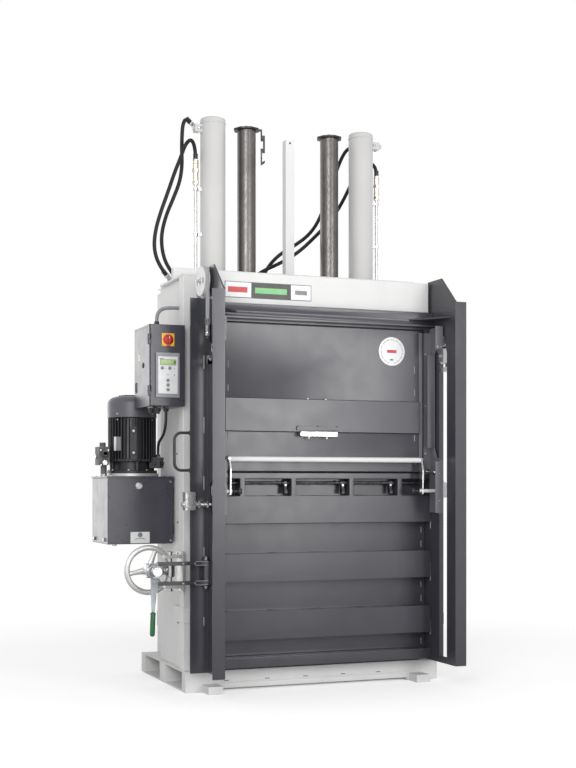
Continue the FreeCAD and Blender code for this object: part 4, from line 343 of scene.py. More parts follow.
class Piece:
    """One object under construction. Solids are added in the finish named last."""

    def __init__(self, name, finish):
        self.name = name
        self.bm = bmesh.new()
        self.finishes = []
        self.use(finish)

    def use(self, finish):
        if finish not in self.finishes:
            self.finishes.append(finish)
        self.index = self.finishes.index(finish)

    def skin(self, rings):
        """Joins rings of points, each as long as the next, with quads and closes the ends."""
        rows = [[self.bm.verts.new(point) for point in ring] for ring in rings]
        size = len(rows[0])
        faces = []
        for low, high in zip(rows, rows[1:]):
            for step in range(size):
                after = (step + 1) % size
                faces.append((low[step], low[after], high[after], high[step]))
        for face in (*faces, rows[0][::-1], rows[-1]):
            self.bm.faces.new(face).material_index = self.index

    def block(self, first, last):
        """A block between two opposite corners."""
        (x0, x1), (y0, y1), levels = (sorted(pair) for pair in zip(first, last))
        corners = ((x0, y0), (x1, y0), (x1, y1), (x0, y1))
        self.skin([[Vector((*corner, level)) for corner in corners] for level in levels])

    def field(self, finish, low, high, front, thick=0.0004):
        """A thin printed field on a face that looks along -Y; low and high are (x, z)."""
        self.use(finish)
        self.block((low[0], front - thick, low[1]), (high[0], front + 0.0002, high[1]))

    def turned(self, spot, direction, outline, sides=40):
        """A turned solid; the outline is (radius, distance along the direction)."""
        place = facing(spot, direction)
        self.skin([[place @ Vector(point) for point in circle((0, 0, along), radius, sides)]
                   for radius, along in outline])

    def nut(self, spot, direction, radius, tall, rim, top, sides=6, foot=0):
        """A prism or a disc whose end narrows to a rim."""
        self.turned(spot, direction, [(radius, foot), (radius, tall), (rim, top)], sides)

    def bolt(self, spot, direction, size, washer=True, stud=0.0):
        """A hexagon head with its chamfer, on a washer."""
        out = Vector(direction).normalized()
        lift = 0.0
        if washer:
            lift = 0.22 * size
            self.nut(spot, direction, 1.05 * size, 0.7 * lift, 0.95 * size, lift, 28)
        self.nut(Vector(spot) + out * lift, direction,
                 0.82 * size, 0.5 * size, 0.7 * size, 0.62 * size)
        if stud:
            tip = Vector(spot) + out * (lift + 0.6 * size)
            self.nut(tip, direction, 0.48 * size, stud, 0.4 * size, stud + 0.1 * size, 20)

    def screw(self, spot, direction, size):
        """A round socket head with its recess."""
        outline = ((1, 0), (1, 0.75), (0.9, 0.9), (0.52, 0.9), (0.52, 0.4))
        self.turned(spot, direction, [(wide * size, tall * size) for wide, tall in outline], 24)

    def thread(self, spot, direction, radius, length, pitch, sides=20):
        """A threaded bar as a row of shallow ridges."""
        turns = max(2, int(length / pitch))
        outline = [(radius * (1 if half % 2 else 0.9), half / 2 * pitch)
                   for half in range(2 * turns + 1)]
        self.turned(spot, direction, outline, sides)

    def pipe(self, points, radii, sides):
        """A round bar along a list of points; radii is one size, or one for each point."""
        points = [Vector(point) for point in points]
        if isinstance(radii, float):
            radii = [radii] * len(points)
        side = None
        rings = []
        for index, (point, radius) in enumerate(zip(points, radii)):
            before = points[max(index - 1, 0)]
            after = points[min(index + 1, len(points) - 1)]
            heading = (after - before).normalized()
            side = side or heading.orthogonal().normalized()
            side = (side - heading * side.dot(heading)).normalized()
            other = heading.cross(side)
            turns = [math.tau * step / sides for step in range(sides)]
            rings.append([point + radius * (side * math.cos(turn) + other * math.sin(turn))
                          for turn in turns])
        self.skin(rings)

    def weld(self, start, end, radius, seed):
        """A weld bead: a rippled bar between two points."""
        start = Vector(start)
        run = Vector(end) - start
        parts = max(4, int(run.length / 0.0045))
        chance = random.Random(seed)
        radii = []
        for step in range(parts + 1):
            size = radius * (0.82 + 0.22 * (step % 2) + 0.1 * chance.random())
            radii.append(size * (0.35 if step in (0, parts) else 1.0))
        self.pipe([start + run * (step / parts) for step in range(parts + 1)], radii, 8)

    def bead(self, start, axis, reach, radius, seed):
        """A weld bead from a point along one axis."""
        end = list(start)
        end[axis] += reach
        self.weld(start, end, radius, seed)

    def done(self, node, edge, replaces=()):
        """Makes the object, softens its edges and lets it ride on the body of a node."""
        bmesh.ops.recalc_face_normals(self.bm, faces=self.bm.faces)
        return settle(self.name, self.bm, self.finishes, NODE_BODY.get(node), replaces, edge)


def settle(name, bm, finishes, body, replaces, edge, even=False):
    """Turns mesh data into an object with finishes, soft edges and a body."""
    mesh = bpy.data.meshes.new(name)
    bm.to_mesh(mesh)
    bm.free()
    for finish in finishes:
        mesh.materials.append(FINISH[finish])
    for polygon in mesh.polygons:
        polygon.use_smooth = True
    mesh.set_sharp_from_angle(angle=math.radians(32.0))
    made = bpy.data.objects.new(name, mesh)
    bpy.context.scene.collection.objects.link(made)
    if edge:
        soft = made.modifiers.new("soft_edges", "BEVEL")
        soft.width = edge
        soft.segments = 2
        soft.limit_method = "ANGLE"
        soft.angle_limit = math.radians(38)
        soft.use_clamp_overlap = False
        soft.harden_normals = not even
        soft.miter_outer = "MITER_ARC"
    if even:
        made.modifiers.new("even_shading", "WEIGHTED_NORMAL").keep_sharp = True
    if body:
        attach(made, body)
    if replaces:
        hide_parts(*replaces)
    return made


def dress(node, finish, edge, others=(), merge=True):
    """A softened copy of a solid in its finish. others holds (finish, test) pairs: a face whose
    centre passes the test gets that finish instead. merge joins the level triangles, which a
    plate with a long slot can't take."""
    bm = bmesh.new()
    bm.from_mesh(frame["nodes"][node].data)
    bmesh.ops.remove_doubles(bm, verts=bm.verts, dist=0.00002)
    for face in bm.faces:
        face.material_index = 0
        centre = face.calc_center_median()
        for index, (_, test) in enumerate(others, start=1):
            if test(centre, face.normal):
                face.material_index = index
    if merge:
        bmesh.ops.dissolve_limit(
            bm, angle_limit=math.radians(0.6), verts=bm.verts, edges=bm.edges, delimit={"MATERIAL"}
        )
    for layer in list(bm.loops.layers.float_vector):
        bm.loops.layers.float_vector.remove(layer)
    finishes = [finish] + [entry[0] for entry in others]
    settle(node + "_dressed", bm, finishes, NODE_BODY[node], (node,), edge, even=not merge)


# ------------------------------------------------------------------ camera and stage
def place_in_scene(name, data):
    made = bpy.data.objects.new(name, data)
    bpy.context.scene.collection.objects.link(made)
    return made


def make_camera():
    """The photograph's view: from the left front, level, framed with a small upward shift."""
    data = bpy.data.cameras.new("camera")
    data.sensor_width = 36.0
    data.lens = 61.875
    data.shift_y = 0.129
    made = place_in_scene("camera", data)
    made.location = (-2.6052, -6.7129, 1.0453)
    made.rotation_euler = (math.radians(90.0), 0.0, math.radians(-21.28))
    bpy.context.scene.camera = made


def make_world():
    """A white room: full white to the lens and in reflections, softer as a light."""
    world = bpy.data.worlds.new("room")
    bpy.context.scene.world = world
    nodes = Nodes(world)
    rays = nodes.add("LightPath").outputs
    share = rays["Is Camera Ray"]
    for kind in ("Is Glossy Ray", "Is Transmission Ray"):
        share = nodes.add("Math", {0: share, 1: rays[kind]}, operation="MAXIMUM").outputs[0]
    white = (1.0, 1.0, 1.0, 1.0)
    soft, bright = (nodes.add("Background", {"Color": white, "Strength": level}).outputs[0]
                    for level in (0.54, 1.0))
    both = nodes.add("MixShader", {"Fac": share, 1: soft, 2: bright})
    nodes.add("OutputWorld", {"Surface": both.outputs[0]})


def make_floor():
    """Pale floor: it takes the shadow near the machine and fades into the white room."""
    material = bpy.data.materials.new("studio_floor")
    nodes = Nodes(material)
    rays = nodes.add("LightPath").outputs
    matt = nodes.add("BsdfDiffuse", {"Color": (0.8, 0.8, 0.8, 1.0)}).outputs[0]
    level = nodes.add("Math", {0: rays["Is Camera Ray"], 1: 0.42}, operation="MULTIPLY")
    glow = nodes.add("Emission", {"Strength": level.outputs[0]}).outputs[0]
    both = nodes.add("AddShader", {0: matt, 1: glow}).outputs[0]
    spot = nodes.add("NewGeometry").outputs["Position"]
    reach = nodes.add("VectorMath", {0: spot}, operation="LENGTH")
    limits = {"Value": reach.outputs["Value"], "From Min": 1.4, "From Max": 3.6}
    fade = nodes.add("MapRange", limits, interpolation_type="SMOOTHSTEP").outputs["Result"]
    white = nodes.add("Emission", {"Strength": 1.0}).outputs[0]
    plain = nodes.add("MixShader", {"Fac": fade, 1: both, 2: white}).outputs[0]
    nodes.add("OutputMaterial", {"Surface": plain})
    mesh = bpy.data.meshes.new("studio_floor")
    half = 40.0
    mesh.from_pydata([(x * half, y * half, 0) for x, y in SQUARE], [], [(0, 1, 2, 3)])
    mesh.materials.append(material)
    place_in_scene("studio_floor", mesh)


def make_light(name, spot, aim, size, watts, matt=True):
    """A soft rectangular light; without matt it shows in reflections only."""
    data = bpy.data.lights.new(name, "AREA")
    data.shape = "RECTANGLE"
    data.size, data.size_y = size
    data.energy = watts
    made = place_in_scene(name, data)
    made.location = spot
    made.rotation_euler = (Vector(aim) - Vector(spot)).to_track_quat("-Z", "Y").to_euler()
    made.visible_camera = False
    made.visible_diffuse = matt


def make_stage():
    make_world()
    make_floor()
    middle = (0.0, -0.2, 1.3)
    make_light("key_softbox", (-3.5, -6.2, 3.2), middle, (3.2, 3.4), 205)
    make_light("fill_softbox", (2.2, -7.0, 2.3), middle, (2.0, 3.4), 140)
    make_light("back_panel", (-3.6, 6.6, 1.8), (-0.9, -0.2, 1.0), (4.6, 5.0), 105, False)
    make_light("front_strip", (2.15, -6.6, 1.4), (0.1, -0.5, 1.4), (0.8, 4.0), 30, False)
    bpy.context.scene.view_settings.view_transform = "Standard"


# ------------------------------------------------------------------ cords
HOSES = {
    "hose_left_inner": (
        (-0.556, -0.029, 2.95), (-0.586, -0.05, 2.964), (-0.606, -0.059, 2.93),
        (-0.608, -0.05, 2.868), (-0.602, -0.026, 2.79), (-0.594, -0.006, 2.72),
        (-0.602, 0.01, 2.64), (-0.632, 0.022, 2.558), (-0.676, 0.032, 2.45),
        (-0.698, 0.038, 2.343), (-0.682, 0.045, 2.24), (-0.64, 0.054, 2.172),
        (-0.606, 0.058, 2.134),
    ),
    "hose_left_outer": (
        (-0.527, -0.029, 2.753), (-0.527, -0.029, 2.808), (-0.556, -0.058, 2.858),
        (-0.598, -0.083, 2.822), (-0.626, -0.089, 2.746), (-0.66, -0.09, 2.664),
        (-0.694, -0.088, 2.562), (-0.734, -0.085, 2.452), (-0.762, -0.082, 2.352),
        (-0.768, -0.077, 2.262), (-0.74, -0.07, 2.18), (-0.694, -0.063, 2.128),
    ),
    "hose_right_upper": (
        (0.545, -0.003, 2.922), (0.545, 0.042, 2.922), (0.516, 0.084, 2.936),
        (0.462, 0.098, 2.952), (0.404, 0.096, 2.928), (0.366, 0.097, 2.866),
        (0.334, 0.099, 2.78), (0.288, 0.103, 2.65), (0.236, 0.11, 2.508),
        (0.176, 0.117, 2.426), (0.092, 0.124, 2.364), (0.006, 0.132, 2.312),
        (-0.058, 0.14, 2.24), (-0.09, 0.146, 2.17), (-0.1, 0.148, 2.134),
    ),
    "hose_right_lower": (
        (0.527, -0.029, 2.753), (0.527, -0.029, 2.794), (0.52, 0.01, 2.836),
        (0.48, 0.058, 2.846), (0.44, 0.078, 2.77), (0.4, 0.08, 2.682),
        (0.344, 0.084, 2.578), (0.286, 0.088, 2.5), (0.231, 0.092, 2.443),
        (0.18, 0.098, 2.391), (0.121, 0.104, 2.336), (0.054, 0.105, 2.29),
        (-0.018, 0.108, 2.25), (-0.096, 0.114, 2.214), (-0.16, 0.118, 2.164),
        (-0.184, 0.12, 2.136),
    ),
}
MOTOR_LEAD = (
    (-0.775, -0.33, 1.403), (-0.775, -0.33, 1.362), (-0.772, -0.304, 1.318),
    (-0.764, -0.24, 1.286), (-0.754, -0.16, 1.27), (-0.746, -0.096, 1.256),
    (-0.7423, -0.0642, 1.226), (-0.7423, -0.0642, 1.194),
)
CONDUIT = (
    (-0.805, -0.265, 1.861), (-0.805, -0.265, 1.891), (-0.79, -0.265, 1.917),
    (-0.763, -0.265, 1.931), (-0.706, -0.265, 1.934), (-0.652, -0.265, 1.934),
)
HOSE_RADIUS = 0.01
LEAD_RADIUS = 0.007
CONDUIT_RADIUS = 0.009


def make_cord(name, route, radius, finish, node):
    """A hose or cable as one smooth curve along its route."""
    data = bpy.data.curves.new(name, "CURVE")
    data.dimensions = "3D"
    data.bevel_depth = radius
    data.bevel_resolution = 6
    data.resolution_u = 10
    data.use_fill_caps = True
    spline = data.splines.new("NURBS")
    spline.points.add(len(route) - 1)
    for point, place in zip(spline.points, route):
        point.co = (*place, 1.0)
    spline.order_u = 3
    spline.use_endpoint_u = True
    data.materials.append(FINISH[finish])
    made = place_in_scene(name, data)
    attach(made, NODE_BODY[node])
    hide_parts(node)


def make_cords():
    for node, route in HOSES.items():
        name = node.replace("hose", "hose_run")
        make_cord(name, route, HOSE_RADIUS, "rubber", node)
    node = "control_cables"
    make_cord("motor_lead", MOTOR_LEAD, LEAD_RADIUS, "sheath", node)
    make_cord("conduit", CONDUIT, CONDUIT_RADIUS, "grey", node)


# ------------------------------------------------------------------ solids in their finishes
RAM_Y = -0.029
RAM_X = 0.431
RAM_R = 0.067
PIPE_X = 0.527
COLUMNS = (-0.241, 0.241)
FLANGE_TOP = 1.0952
SHELF_LOW = 1.306
ROLLER_Y = -0.6505
ROLLER_LEVELS = (1.7, 1.01)
PIVOT_Y = -0.584
# Finish, width of the softened edges, and the nodes that have both.
DRESSED = (
    ("white", 0.003, "base_frame side_frame_left side_frame_right rear_wall top_crosshead"),
    ("white", 0.002, "switch_mast"),
    ("cylinder", 0.004, "cylinder_left cylinder_right"),
    ("zinc", 0.001, "pressure_pipework"),
    ("brass", 0.001, "guide_bushes"),
    ("zinc", 0.0008, "hose_ends"),
    ("door", 0.002, "hinge_brackets"),
    ("zinc", 0.0008, "pivot_pins"),
    ("alloy", 0.0015, "lock_bracket"),
    ("case", 0.0015, "control_box"),
    ("board", 0.0008, "control_board"),
    ("black", 0.0005, "cable_glands"),
    ("case", 0.003, "oil_tank"),
    ("case", 0.0015, "tank_lid"),
    ("motor", 0.0015, "motor_body"),
    ("cowl", 0.003, "motor_cowl"),
    ("alloy", 0.0015, "motor_flange"),
    ("iron", 0.001, "valve_block"),
    ("print_black", 0.0004, "name_plate"),
    ("door", 0.0012, "upright_left upright_right"),
    ("door", 0.003, "door_panel"),
    ("door", 0.002, "top_rail"),
    ("black", 0.0005, "pull_handle"),
    ("door", 0.0015, "lock_lugs"),
    ("zinc", 0.001, "side_stops"),
    ("zinc", 0.0006, "pulley_axles"),
    ("door", 0.0025, "loading_panel"),
    ("carriage", 0.0012, "carriages"),
    ("nylon", 0.0006, "guide_studs"),
    ("zinc", 0.0008, "door_handle"),
    ("zinc", 0.0006, "push_bar"),
    ("nylon", 0.002, "pulleys"),
    ("iron", 0.003, "counterweights"),
    ("black_steel", 0.0003, "bale_claws"),
    ("platen", 0.003, "platen"),
    ("chrome", 0.0015, "piston_rods"),
    ("column", 0.0015, "guide_columns"),
    ("black_steel", 0.001, "column_caps"),
    ("case", 0.0012, "control_door"),
    ("grey", 0.001, "keypad"),
    ("yellow", 0.0015, "switch_plate"),
    ("zinc", 0.0015, "lock_arm"),
    ("zinc", 0.001, "lock_screw"),
    ("steel", 0.0025, "ratchet_lever"),
    ("green", 0.003, "lever_grip"),
)
SLOTTED = ("side_frame_left", "side_frame_right", "upright_left", "upright_right", "door_panel",
           "control_door", "bale_claws")


def on_push_rod(spot, normal):
    return (spot.y + 0.572) ** 2 + (spot.z - 1.164) ** 2 < 0.0145**2


def inside_axle(spot, normal):
    """The axle through each guide roller, and its head."""
    height = min(ROLLER_LEVELS, key=lambda level: abs(spot.z - level))
    return (spot.y - ROLLER_Y) ** 2 + (spot.z - height) ** 2 < 0.0105**2


def on_foil(spot, normal):
    return normal.y < -0.9 and abs(spot.x + 0.798) < 0.049 and abs(spot.z - 1.577) < 0.091


# Nodes with a second finish on some of their faces.
PARTLY = {
    "pressure_pipework": (
        ("brass", lambda spot, normal: 2.712 <= spot.z <= 2.752),
        ("brass", lambda spot, normal: 2.622 <= spot.z <= 2.69),
        ("cylinder", lambda spot, normal: spot.z > 2.895 and abs(spot.x) < 0.536),
    ),
    "motor_flange": (("motor", lambda spot, normal: spot.z > FLANGE_TOP),),
    "guide_studs": (("zinc", inside_axle),),
    "door_handle": (("door", lambda spot, normal: spot.z > SHELF_LOW),),
    "push_bar": (("white", on_push_rod),),
    "keypad": (("foil", on_foil),),
}


def dress_all():
    for finish, edge, nodes in DRESSED:
        for node in nodes.split():
            dress(node, finish, edge, PARTLY.get(node, ()), node not in SLOTTED)


# ------------------------------------------------------------------ details of the press frame
def make_name_fields():
    """Two pale fields on the dark plate, and plain bars where words would stand."""
    low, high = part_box("name_plate")
    wide = high.x - low.x
    edge = 0.003
    first = low.x + 0.3 * wide
    second = low.x + 0.76 * wide
    middle = (low.z + high.z) / 2
    over = low.y - 0.0004
    piece = Piece("name_fields", "foil")
    for start, end in ((low.x + edge, first), (second, high.x - edge)):
        piece.field("foil", (start, low.z + edge), (end, high.z - edge), low.y)
    for finish, start, end, tall, front, thick in (
        ("print_red", low.x + 0.016, first - 0.02, 0.014, over, 0.0003),
        ("print_green", first + 0.02, second - 0.022, 0.014, low.y, 0.0004),
        ("key", second + 0.022, high.x - 0.024, 0.011, over, 0.0003),
    ):
        piece.field(finish, (start, middle - tall), (end, middle + tall), front, thick)
    piece.done("name_plate", 0.0)


def make_cylinder_details():
    """Gland bolts and the weld rings of each cylinder."""
    piece = Piece("cylinder_details", "zinc")
    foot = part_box("cylinder_left")[0].z
    for side in SIDES:
        at = RAM_X * side
        piece.use("zinc")
        for spot in circle((at, RAM_Y, foot + 0.025), 0.084, 8, 0.5):
            piece.bolt(spot, Z, 0.008, washer=False)
        piece.use("cylinder")
        for height in (2.952, foot + 0.028):
            ring = circle((at, RAM_Y, height), RAM_R + 0.0006, 56)
            piece.pipe(ring + ring[:1], 0.0022, 6)
    piece.done("cylinder_left", 0.0003)


def make_pipe_fittings():
    """Hexagons, crimped sleeves and pipe clips on the pressure pipes."""
    piece = Piece("pipe_fittings", "brass")
    for side in SIDES:
        at = PIPE_X * side
        piece.use("zinc")
        piece.nut((at, RAM_Y, 2.69), Z, 0.0185, 0.016, 0.0165, 0.018)
        piece.nut((at, RAM_Y, 2.628), Z, 0.0175, 0.013, 0.0155, 0.015)
        piece.turned((at, RAM_Y, 2.655), Z, [(0.0165, 0), (0.017, 0.002), (0.0165, 0.004)], 28)
        piece.use("brass")
        crimp = [(0.0152, 0), (0.0166, 0.0015), (0.0166, 0.005), (0.0152, 0.0065)]
        for step in range(4):
            piece.turned((at, RAM_Y, 2.714 + 0.009 * step), Z, crimp, 28)
        piece.use("zinc")
        for height in (2.36, 2.6):
            piece.block((at - 0.012 * side, RAM_Y - 0.012, height - 0.008),
                        (at - 0.032 * side, RAM_Y + 0.012, height + 0.008))
            piece.turned((at, RAM_Y, height - 0.008), Z, [(0.0125, 0), (0.0125, 0.016)], 28)
        high = 2.922
        inner = RAM_X * side + RAM_R * side
        out = (side, 0, 0)
        piece.nut((inner, RAM_Y, high), out, 0.026, 0.007, 0.0235, 0.009)
        piece.nut((0.536 * side, RAM_Y, high), out, 0.019, 0.006, 0.017, 0.008, foot=-0.004)
        piece.screw((RAM_X * side + 0.086 * side, RAM_Y - 0.02, high), -Y, 0.006)
    piece.done("pressure_pipework", 0.0003)


def make_hose_nuts():
    """A crimped ferrule and a union nut where each hose meets its fitting."""
    piece = Piece("hose_nuts", "black_steel")
    crimp = [(0.0106, 0), (0.0132, 0.0015), (0.0132, 0.0065), (0.0106, 0.008)]
    for route in HOSES.values():
        for end, after in ((route[0], route[1]), (route[-1], route[-2])):
            start = Vector(end)
            along = (Vector(after) - start).normalized()
            piece.use("black_steel")
            for step in range(3):
                piece.turned(start + along * (0.006 + 0.01 * step), along, crimp, 24)
            piece.use("zinc")
            piece.nut(start, along, 0.015, 0.004, 0.0135, 0.0055, foot=-0.004)
    piece.done("hose_left_inner", 0.0)


def make_column_details():
    """Bush screws below and the bolts of each cap on top."""
    piece = Piece("column_details", "zinc")
    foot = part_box("guide_bushes")[1].z
    for at in COLUMNS:
        for spot in circle((at, RAM_Y, foot), 0.064, 6):
            piece.screw(spot, Z, 0.0065)
    piece.done("guide_bushes", 0.0002)
    caps = Piece("cap_bolts", "black_steel")
    for at in COLUMNS:
        top = (at, RAM_Y, 2.935 + 0.009)
        caps.bolt(top, Z, 0.019)
        for spot in circle(top, 0.038, 4, 0.5):
            caps.bolt(spot, Z, 0.007, washer=False)
    caps.done("column_caps", 0.0003)


def make_mast_details():
    """A closed black disc of painted shade for the cable hole, and the end plug of the thin mast.
    """
    low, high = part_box("switch_mast")
    middle = (low + high) / 2
    piece = Piece("mast_plug", "black")
    # The cable hole is a closed black disc: painted shade where the opening would be dark.
    hole = [(0.0055, 0), (0.0055, 0.0012), (0.003, 0.0012)]
    piece.turned((middle.x, low.y + 0.0004, high.z - 0.018), -Y, hole, 20)
    inner = 0.0205
    piece.block((middle.x - inner, middle.y - inner, high.z - 0.006),
                (middle.x + inner, middle.y + inner, high.z - 0.001))
    piece.done("switch_mast", 0.0004)


def make_frame_welds():
    """Weld beads along the joints of the frame that show."""
    piece = Piece("frame_welds", "white")
    roof = 2.095
    for at in COLUMNS:
        turns = [math.radians(45 + 270 * step / 48) for step in range(49)]
        piece.pipe([(at + 0.08 * math.cos(turn), RAM_Y + 0.08 * math.sin(turn), roof + 0.0008)
                    for turn in turns], 0.0024, 6)
    seeds = count(11)
    for depth, start in product((-0.177, 0.223), spread_out(-0.66, 0.46, 8)):
        piece.bead((start, depth, roof + 0.001), 0, 0.07, 0.0032, next(seeds))
    for side, start in product(SIDES, spread_out(0.2, 1.8, 9)):
        seed = next(seeds)
        piece.bead((0.641 * side, -0.224, start), 2, 0.06, 0.0028, seed)
        piece.bead((0.615 * side, 0.121, start), 2, 0.06, 0.0028, seed + 50)
    piece.done("top_crosshead", 0.0)


def make_rear_details():
    """Stitch welds along the rear ribs."""
    piece = Piece("rear_welds", "white")
    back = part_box("rear_wall")[1].y - 0.012
    seeds = count(201)
    for level, start, edge in product(range(4), spread_out(-0.56, 0.44, 6), (-0.001, 0.091)):
        height = 0.25 + 0.47 * level
        piece.bead((start, back, height + edge), 0, 0.06, 0.0026, next(seeds))
    piece.done("rear_wall", 0.0)


def make_post_details():
    """Plugs and cross straps of the side cheeks, and flat dark patches of painted shade for the
    slot openings in the base's ledge.
    """
    piece = Piece("post_plugs", "black")
    plugs = ((-0.189, 1.196), (-0.205, 0.844), (-0.205, 0.4), (-0.21, 0.3315))
    for side, (back, height) in product(SIDES, plugs):
        piece.nut((0.676 * side, back, height), X * side,
                  0.0055, 0.0024, 0.004, 0.0028, 18, foot=-0.002)
    piece.done("side_frame_left", 0.0)
    straps = Piece("channel_straps", "white")
    for side in SIDES:
        straps.block((0.655 * side, -0.39, 0.345), (0.7035 * side, -0.2235, 0.424))
    straps.done("side_frame_left", 0.0012)
    # Thin dark blocks on the ledge's face stand for the slot openings: painted shade.
    slot_shade = Piece("base_slot_shade", "black_steel")
    front = -0.42
    for start in (-0.5, -0.28, -0.07, 0.14, 0.34):
        slot_shade.block((start, front - 0.0006, 0.052), (start + 0.026, front + 0.0002, 0.0555))
    slot_shade.done("base_frame", 0.0)
    ledge = Piece("base_ledge", "white")
    lip = ((0.0002, 0.04), (-0.004, 0.042), (-0.004, 0.046), (0.0002, 0.049))
    ledge.skin([[Vector((at, front + out, height)) for out, height in lip]
                for at in (-0.515, 0.515)])
    ledge.done("base_frame", 0.0003)


# ------------------------------------------------------------------ details of the doors
STRIP_FRONT = -0.541
SKIN_FRONT = -0.446
SHEET_FRONT = -0.526
BAND_FRONT = -0.548
PLATE_IN = 0.615
PLATE_OUT = 0.623
FLANGE_FRONT = -0.785
STITCHES = ((1.603, 1.671), (1.288, 1.37), (1.011, 1.08), (0.683, 0.732), (0.345, 0.39))
RIGHT_STITCHES = ((1.567, 1.641), (1.224, 1.308), (0.806, 0.856), (0.532, 0.635), (0.25, 0.33))
RIBS = ((0.263, 0.403), (0.552, 0.692), (0.841, 0.981))


def make_door_welds():
    """Stitch welds of the bale door: strip to plate, plate to stile, skin to ribs."""
    # The stitch welds take the paler weld paint: painted highlight on real beads.
    piece = Piece("door_welds", "stitch")
    seeds = count(301)
    for low, high in STITCHES:
        spot = (-0.643, STRIP_FRONT - 0.0004)
        piece.weld((*spot, low), (*spot, high), 0.0032, next(seeds))
    for side in SIDES:
        spot = ((PLATE_IN - 0.0004) * side, -0.512)
        for low, high in RIGHT_STITCHES:
            piece.weld((*spot, low), (*spot, high), 0.003, next(seeds))
        reach = 0.036
        for low, high in ((0.178, 0.263), (0.403, 0.552), (0.692, 0.841)):
            for start in (low + 0.014, high - 0.024 - reach):
                seed = next(seeds)
                if high - low > 0.1 or start < low + 0.02:
                    spot = (0.592 * side, SKIN_FRONT - 0.0004, start)
                    piece.bead(spot, 2, reach, 0.0026, seed)
    piece.use("door")
    for (low, high), start in product(RIBS, spread_out(-0.53, 0.45, 5)):
        seed = next(seeds)
        for height in (low - 0.0006, high + 0.0006):
            piece.bead((start, SKIN_FRONT - 0.0006, height), 0, 0.05, 0.0022, seed)
    for side, start in product(SIDES, spread_out(0.3, 1.84, 12)):
        seed = next(seeds)
        spot = ((PLATE_OUT + 0.0006) * side, FLANGE_FRONT + 0.0066, start)
        piece.bead(spot, 2, 0.045, 0.0024, seed)
        piece.bead(((PLATE_IN - 0.0006) * side, -0.439, start), 2, 0.045, 0.0022, seed)
    piece.done("door_panel", 0.0)


def make_rail_skirt():
    """The sheet behind the top rail that closes the gap above the loading door."""
    low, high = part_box("top_rail")
    piece = Piece("rail_skirt", "door")
    piece.block((low.x + 0.009, -0.5165, low.z - 0.075), (high.x - 0.009, -0.5125, low.z + 0.004))
    piece.done("top_rail", 0.0005)


def make_sheet_welds():
    """Stitch welds of the loading door's sheet and its band."""
    # The stitch welds take the paler weld paint: painted highlight on real beads.
    piece = Piece("sheet_welds", "stitch")
    seeds = count(501)
    for side in SIDES:
        spot = (0.514 * side, SHEET_FRONT - 0.0004)
        for low, high in ((1.615, 1.654), (1.498, 1.534), (1.262, 1.298), (1.14, 1.176)):
            seed = next(seeds)
            piece.weld((*spot, low), (*spot, high), 0.0026, seed)
        spot = (0.5352 * side, BAND_FRONT + 0.006)
        piece.weld((*spot, 1.366), (*spot, 1.405), 0.0024, seed)
    piece.use("door")
    for start, height in product(spread_out(-0.5, 0.43, 7), (1.3024, 1.4686)):
        piece.bead((start, SHEET_FRONT - 0.0006, height), 0, 0.05, 0.002, next(seeds))
    piece.use("zinc")
    for at in (-0.093, 0.005):
        piece.bolt((at, BAND_FRONT + 0.01, 1.468), Z, 0.0052)
    piece.done("loading_panel", 0.0)


def make_round_label():
    """The round field on the loading door, bare but for plain bars and a dotted ring."""
    centre = Vector((0.382, SHEET_FRONT, 1.728))
    radius = 0.074
    piece = Piece("round_label", "foil")
    piece.nut(centre, -Y, radius, 0.0005, radius - 0.0004, 0.0006, 72, foot=-0.0002)
    piece.use("key")
    for step in range(44):
        if 32 <= step <= 34:
            continue
        turn = math.tau * step / 44
        spot = centre + Vector((0.061 * math.cos(turn), -0.0005, 0.061 * math.sin(turn)))
        size = 0.003 if step % 3 else 0.0018
        piece.turned(spot, -Y, [(size, 0), (size, 0.0003)], 10)
    for finish, left, right, low, high in (
        ("print_red", -0.027, 0.027, -0.008, 0.008),
        ("print_black", -0.01, 0.008, -0.047, -0.04),
    ):
        piece.field(finish, (centre.x + left, centre.z + low),
                    (centre.x + right, centre.z + high), SHEET_FRONT - 0.0006)
    piece.done("loading_panel", 0.0)


def make_handle_bolts():
    """Heads of the two bolts that carry the loading door's handle, and its end caps."""
    piece = Piece("handle_bolts", "zinc")
    for at in (-0.044 - 0.049, -0.044 + 0.049):
        piece.bolt((at, -0.553, 1.2815), -Z, 0.0062)
    for end, way in ((-0.141, -1), (0.053, 1)):
        piece.block((end, -0.5705, 1.2825), (end + 0.003 * way, -0.5355, 1.3015))
    piece.use("door")
    for at in (-0.15, -0.044, 0.062):
        piece.screw((at, -0.552, 1.33), Z, 0.0042)
    piece.done("door_handle", 0.0004)


def make_carriage_bolts():
    """Bolts through the carriage ears, and the roller axle nuts."""
    piece = Piece("carriage_bolts", "zinc")
    for side in SIDES:
        out = (side, 0, 0)
        for at in (0.577, 0.597):
            piece.bolt((at * side, -0.662, 1.748), -Y, 0.0052, washer=False)
        for height in (0.955, 1.095):
            piece.bolt((0.588 * side, -0.662, height), -Y, 0.0048, washer=False)
        for height in ROLLER_LEVELS:
            piece.bolt(((0.609 - 0.008) * side, ROLLER_Y, height), (-side, 0, 0), 0.0105)
            piece.nut(((PLATE_OUT + 0.004) * side, ROLLER_Y, height), out,
                      0.0165, 0.003, 0.0125, 0.0045, 30)
            piece.bolt(((PLATE_OUT + 0.0085) * side, ROLLER_Y, height), out, 0.0085, washer=False)
        for height in (1.2, 1.45, 1.72):
            piece.screw((0.5735 * side, -0.5312, height), -Y, 0.0045)
    piece.done("carriages", 0.0003)


